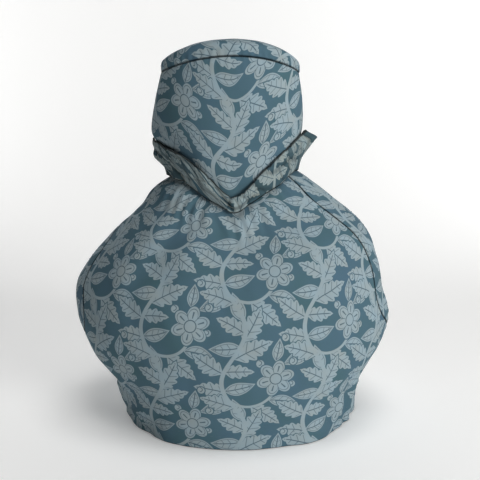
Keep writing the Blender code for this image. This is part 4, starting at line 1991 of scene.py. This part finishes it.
@dataclass(frozen=True)
class PrintedCotton:
    """Matt cotton with a two-tone leafy print, whose wrong side is plain."""

    name: str
    leafy: bpy.types.NodeTree
    ground: Colour = shade(74, 101, 118)
    ground_drift: Colour = shade(68, 97, 105)
    motif: Colour = shade(138, 158, 168)
    motif_drift: Colour = shade(142, 155, 158)
    line: Colour = shade(58, 82, 96)
    wrong: Colour = shade(120, 138, 146)
    line_strength: float = 0.85
    show_through: float = 0.22
    patch_scale: float = 38.0
    cloud_scale: float = 95.0
    drift_gain: float = 2.4
    drift_drop: float = 0.7
    # painted shade: the colour darkens within edge_width of raw edges and seams, and in the hollows of folds
    edge_shade: float = 0.80
    edge_width: float = 0.0009
    crease_shade: float = 0.62
    mottle: float = 0.10
    patchiness: float = 0.10
    roughness: float = 0.84
    roughness_spread: float = 0.10
    specular: float = 0.15
    thread_pitch: float = 0.00046
    thread_roundness: float = 0.25
    slub_length_scale: float = 190.0
    slub_width_scale: float = 2600.0
    weave_strength: float = 0.25
    weave_depth: float = 0.00006
    crumple_scale: float = 170.0
    crumple_strength: float = 0.6
    crumple_depth: float = 0.00022

    def material(self) -> bpy.types.Material:
        """Builds the material.

        Returns:
            The material.
        """
        material, bench, shader = new_material(self.name)
        cloth = bench.node("ShaderNodeUVMap", {"uv_map": CLOTH_MAP}).outputs["UV"]
        leafy = bench.node("ShaderNodeGroup", {"node_tree": self.leafy}, {"Cloth": cloth})
        wrong = bench.attribute(WRONG_SIDE).at_most(1.0)
        edge, crease_shade_mask = bench.attribute(EDGE_DISTANCE), bench.attribute(CREASE_SHADE_MASK)
        patches, clouds = bench.noise(cloth, self.patch_scale), bench.noise(cloth, self.cloud_scale)
        ground = bench.blend(self.ground, self.ground_drift, self.drifted(patches))
        motif = bench.blend(self.motif, self.motif_drift, self.drifted(clouds))
        printed = bench.blend(ground, motif, leafy.outputs["Fill"])
        line = Value(bench, leafy.outputs["Line"]) * self.line_strength
        printed = bench.blend(printed, self.line, line)
        back = bench.blend(self.wrong, printed, self.show_through)
        colour = bench.blend(printed, back, wrong)
        slub = self.threads(bench, cloth)
        mottle_and_shade = slub.times_plus(self.mottle, 1 - self.mottle / 2)
        mottle_and_shade = mottle_and_shade * (patches * self.patchiness + (1 - self.patchiness / 2))
        # Painted shade: the colour darkens along raw edges and seams and in the collar's fold hollows, where
        # shade falls; the threads' mottle and the patches are the cloth's own colour.
        near = (2 - edge * (2 / self.edge_width)).clipped()
        mottle_and_shade = mottle_and_shade * (1 - near * self.edge_shade) * (1 - crease_shade_mask * self.crease_shade)
        bench.link(bench.brighten(colour, mottle_and_shade), shader.inputs["Base Color"])
        bench.link(slub * self.roughness_spread + self.roughness, shader.inputs["Roughness"])
        shader.inputs["Specular IOR Level"].default_value = self.specular
        bench.link(self.relief(bench, cloth), shader.inputs["Normal"])
        return material

    def drifted(self, noise: Value) -> Value:
        """How far a colour has drifted, from 0 to 1, where a noise is at its place."""
        return (noise * self.drift_gain - self.drift_drop).clipped()

    def threads(self, bench: Bench, cloth: bpy.types.NodeSocket) -> Value:
        """Makes uneven threads, lengthwise and crosswise.

        Args:
            bench: The material's bench.
            cloth: Places on the flat cloth.

        Returns:
            Their value, from 0 to 1.
        """
        long, fine = self.slub_length_scale, self.slub_width_scale
        drawn = (
            bench.node("ShaderNodeMapping", values={"Vector": cloth, "Scale": scale}).outputs["Vector"]
            for scale in ((fine, long, 1.0), (long, fine, 1.0))
        )
        lengthwise, crosswise = (bench.noise(place, 1.0, 1.0) * 0.5 for place in drawn)
        return lengthwise + crosswise

    def relief(self, bench: Bench, cloth: bpy.types.NodeSocket) -> bpy.types.NodeSocket:
        """Raises the weave of the cloth, over its faint crumples.

        Args:
            bench: The material's bench.
            cloth: Places on the flat cloth.

        Returns:
            The normal.
        """
        place = bench.node("ShaderNodeSeparateXYZ", values={0: cloth})
        warp, weft = (
            (Value(bench, place.outputs[axis]) * (math.pi / self.thread_pitch)).sine() for axis in ("X", "Y")
        )
        threads = abs(warp) * self.thread_roundness + abs(weft) * self.thread_roundness
        weave = (warp * weft).times_plus(0.5, threads)
        position = bench.node("ShaderNodeTexCoord").outputs["Object"]
        creased = bench.noise(position, self.crumple_scale)
        crumples = bench.node(
            "ShaderNodeBump",
            values={"Strength": self.crumple_strength, "Distance": self.crumple_depth, "Height": creased},
        )
        weaving = bench.node(
            "ShaderNodeBump",
            values={
                "Strength": self.weave_strength, "Distance": self.weave_depth, "Height": weave,
                "Normal": crumples.outputs["Normal"],
            },
        )
        return weaving.outputs["Normal"]

    def dress(self, piece: bpy.types.Object) -> None:
        """Gives a piece this finish.

        Args:
            piece: The piece.
        """
        material = bpy.data.materials.get(self.name) or self.material()
        piece.data.materials.append(material)
        log.info("%s: %s", piece.name, self.name)


@dataclass(frozen=True)
class SewingThread:
    """Twisted sewing thread that matches the cloth's ground."""

    name: str = "matching_thread"
    colour: Colour = shade(56, 82, 98)
    highlight: Colour = shade(84, 108, 120)
    twist_scale: float = 1500.0
    twist_strength: float = 0.5
    twist_depth: float = 0.0001
    roughness: float = 0.6
    roughness_spread: float = 0.15

    def material(self) -> bpy.types.Material:
        """Builds the material.

        Returns:
            The material.
        """
        material, bench, shader = new_material(self.name)
        position = bench.node("ShaderNodeTexCoord").outputs["Object"]
        strand = bench.noise(position, self.twist_scale, 1.0)
        colour = bench.blend(self.colour, self.highlight, (strand * 2 - 0.5).clipped())
        bench.link(colour, shader.inputs["Base Color"])
        bench.link(strand * self.roughness_spread + self.roughness, shader.inputs["Roughness"])
        twist = bench.node(
            "ShaderNodeBump",
            values={"Strength": self.twist_strength, "Distance": self.twist_depth, "Height": strand},
        )
        bench.link(twist.outputs["Normal"], shader.inputs["Normal"])
        return material


class Finishes:
    """Every finish of the cosy."""

    def __init__(self) -> None:
        """Builds the print and the finishes that use it."""
        leafy = LeafPrint().group()
        self.body = PrintedCotton("printed_cotton_body", leafy)
        self.facing = PrintedCotton("printed_cotton_facing", leafy)
        self.bonnet = PrintedCotton("printed_cotton_bonnet", leafy)
        self.crown = PrintedCotton("printed_cotton_crown", leafy, mottle=0.12, edge_shade=0.60)
        # The collar's colours are the same print darkened and greyed as painted shade, for a strip that lies
        # in shade; its wrong side is darkened the same way.
        self.collar = PrintedCotton(
            "printed_cotton_collar", leafy,
            ground=shade(58, 82, 94),
            ground_drift=shade(60, 82, 87),
            motif=shade(133, 150, 154),
            motif_drift=shade(139, 148, 145),
            wrong=shade(104, 118, 122),
            edge_shade=0.85,
            edge_width=0.0012,
            crumple_depth=0.0004,
        )
        self.thread = SewingThread().material()


# ---------------------------------------- studio


@dataclass(frozen=True)
class Lamp:
    """A soft square lamp: where it stands, its width and power, where it points, and its colour."""

    name: str
    place: Point
    width: float
    power: float
    aim: Point = (0.0, 0.0, 0.105)
    colour: Colour = (1.0, 1.0, 1.0)


@dataclass(frozen=True)
class Studio:
    """A pale floor that curves up into a wall, soft lamps, and the camera."""

    camera_place: Point = (0.0038, -0.420, 0.1631)
    camera_pitch: float = 8.03
    focal_pixels: float = 700.75
    image_pixels: int = 480
    sensor: float = 36.0
    floor_front: float = 2.5
    floor_back: float = 1.3
    floor_half_width: float = 4.0
    wall_height: float = 3.0
    wall_bend: float = 0.9
    wall_bend_points: int = 25
    grain_scale: float = 3.0
    grain_shade: float = 0.985
    world_colour: Colour = (0.93, 0.95, 0.97)
    world_strength: float = 0.85
    floor_glow: float = 0.215
    floor_colour: Colour = (0.86, 0.86, 0.855)
    lamps: tuple[Lamp, ...] = (
        Lamp("key_lamp", (0.90, -1.00, 0.30), 0.5, 12.4, colour=(1.0, 0.99, 0.97)),
        Lamp("top_lamp", (0.20, -0.30, 1.50), 0.8, 10.0),
        Lamp("right_wall_lamp", (1.00, 0.45, 0.50), 0.6, 5.8, (0.75, 1.30, 0.55)),
        Lamp("left_wall_lamp", (-1.00, 0.45, 0.50), 0.6, 4.4, (-0.75, 1.30, 0.55)),
    )

    def backdrop(self) -> None:
        """Makes the floor and wall as one curved sheet of pale paper."""
        bends = [
            (self.floor_back - self.wall_bend * (1 - math.sin(a)), self.wall_bend * (1 - math.cos(a)))
            for a in np.linspace(0.0, math.pi / 2, self.wall_bend_points)
        ]
        profile = [(-self.floor_front, 0.0), *bends, (self.floor_back, self.wall_height)]
        points = [(x, y, z) for y, z in profile for x in (-self.floor_half_width, self.floor_half_width)]
        faces = [(2 * i, 2 * i + 1, 2 * i + 3, 2 * i + 2) for i in range(len(profile) - 1)]
        mesh = bpy.data.meshes.new("pale_backdrop")
        mesh.from_pydata(points, [], faces)
        mesh.shade_smooth()
        sheet = linked("pale_backdrop", mesh)
        material, bench, shader = new_material("pale_paper")
        position = bench.node("ShaderNodeTexCoord").outputs["Object"]
        grain = bench.noise(position, self.grain_scale, 3.0)
        tint = tuple(c * self.grain_shade for c in self.floor_colour)
        bench.link(bench.blend(self.floor_colour, tint, grain), shader.inputs["Base Color"])
        for name, value in (
            ("Roughness", 0.95),
            ("Specular IOR Level", 0.1),
            ("Emission Color", (1.0, 1.0, 0.995, 1.0)),
            ("Emission Strength", self.floor_glow),
        ):
            shader.inputs[name].default_value = value
        mesh.materials.append(material)

    def light(self) -> None:
        """Sets the world's soft light and the lamps."""
        world = bpy.data.worlds.new("studio_world")
        bpy.context.scene.world = world
        world.use_nodes = True
        sky = world.node_tree.nodes["Background"]
        sky.inputs["Color"].default_value = (*self.world_colour, 1.0)
        sky.inputs["Strength"].default_value = self.world_strength
        world.cycles_visibility.diffuse = False
        world.cycles_visibility.glossy = False
        for lamp in self.lamps:
            data = bpy.data.lights.new(lamp.name, "AREA")
            data.energy, data.size, data.color = lamp.power, lamp.width, lamp.colour
            stand = linked(lamp.name, data)
            stand.location = lamp.place
            aim = Vector(lamp.aim) - Vector(lamp.place)
            stand.rotation_euler = aim.to_track_quat("-Z", "Y").to_euler()

    def camera(self) -> None:
        """Stands the camera in front of the cosy, a little above its middle."""
        data = bpy.data.cameras.new("camera")
        data.sensor_width = self.sensor
        data.lens = self.focal_pixels / self.image_pixels * self.sensor
        camera = linked("camera", data)
        camera.location = self.camera_place
        camera.rotation_euler = (math.radians(90.0 - self.camera_pitch), 0.0, 0.0)
        bpy.context.scene.camera = camera
        bpy.context.scene.view_settings.view_transform = "Standard"


def main() -> None:
    """Builds the cosy, its finishes and the studio, in order."""
    logging.basicConfig(level=logging.INFO, format="%(name)s: %(message)s", stream=sys.stdout)
    studio = Studio()
    studio.camera()
    form, finishes, stitches = DrapedForm(), Finishes(), Stitches()
    Body(form).build(finishes, stitches)
    Bonnet(form).build(finishes)
    Collar(form).build(finishes)
    studio.backdrop()
    studio.light()


if __name__ == "__main__":
    main()
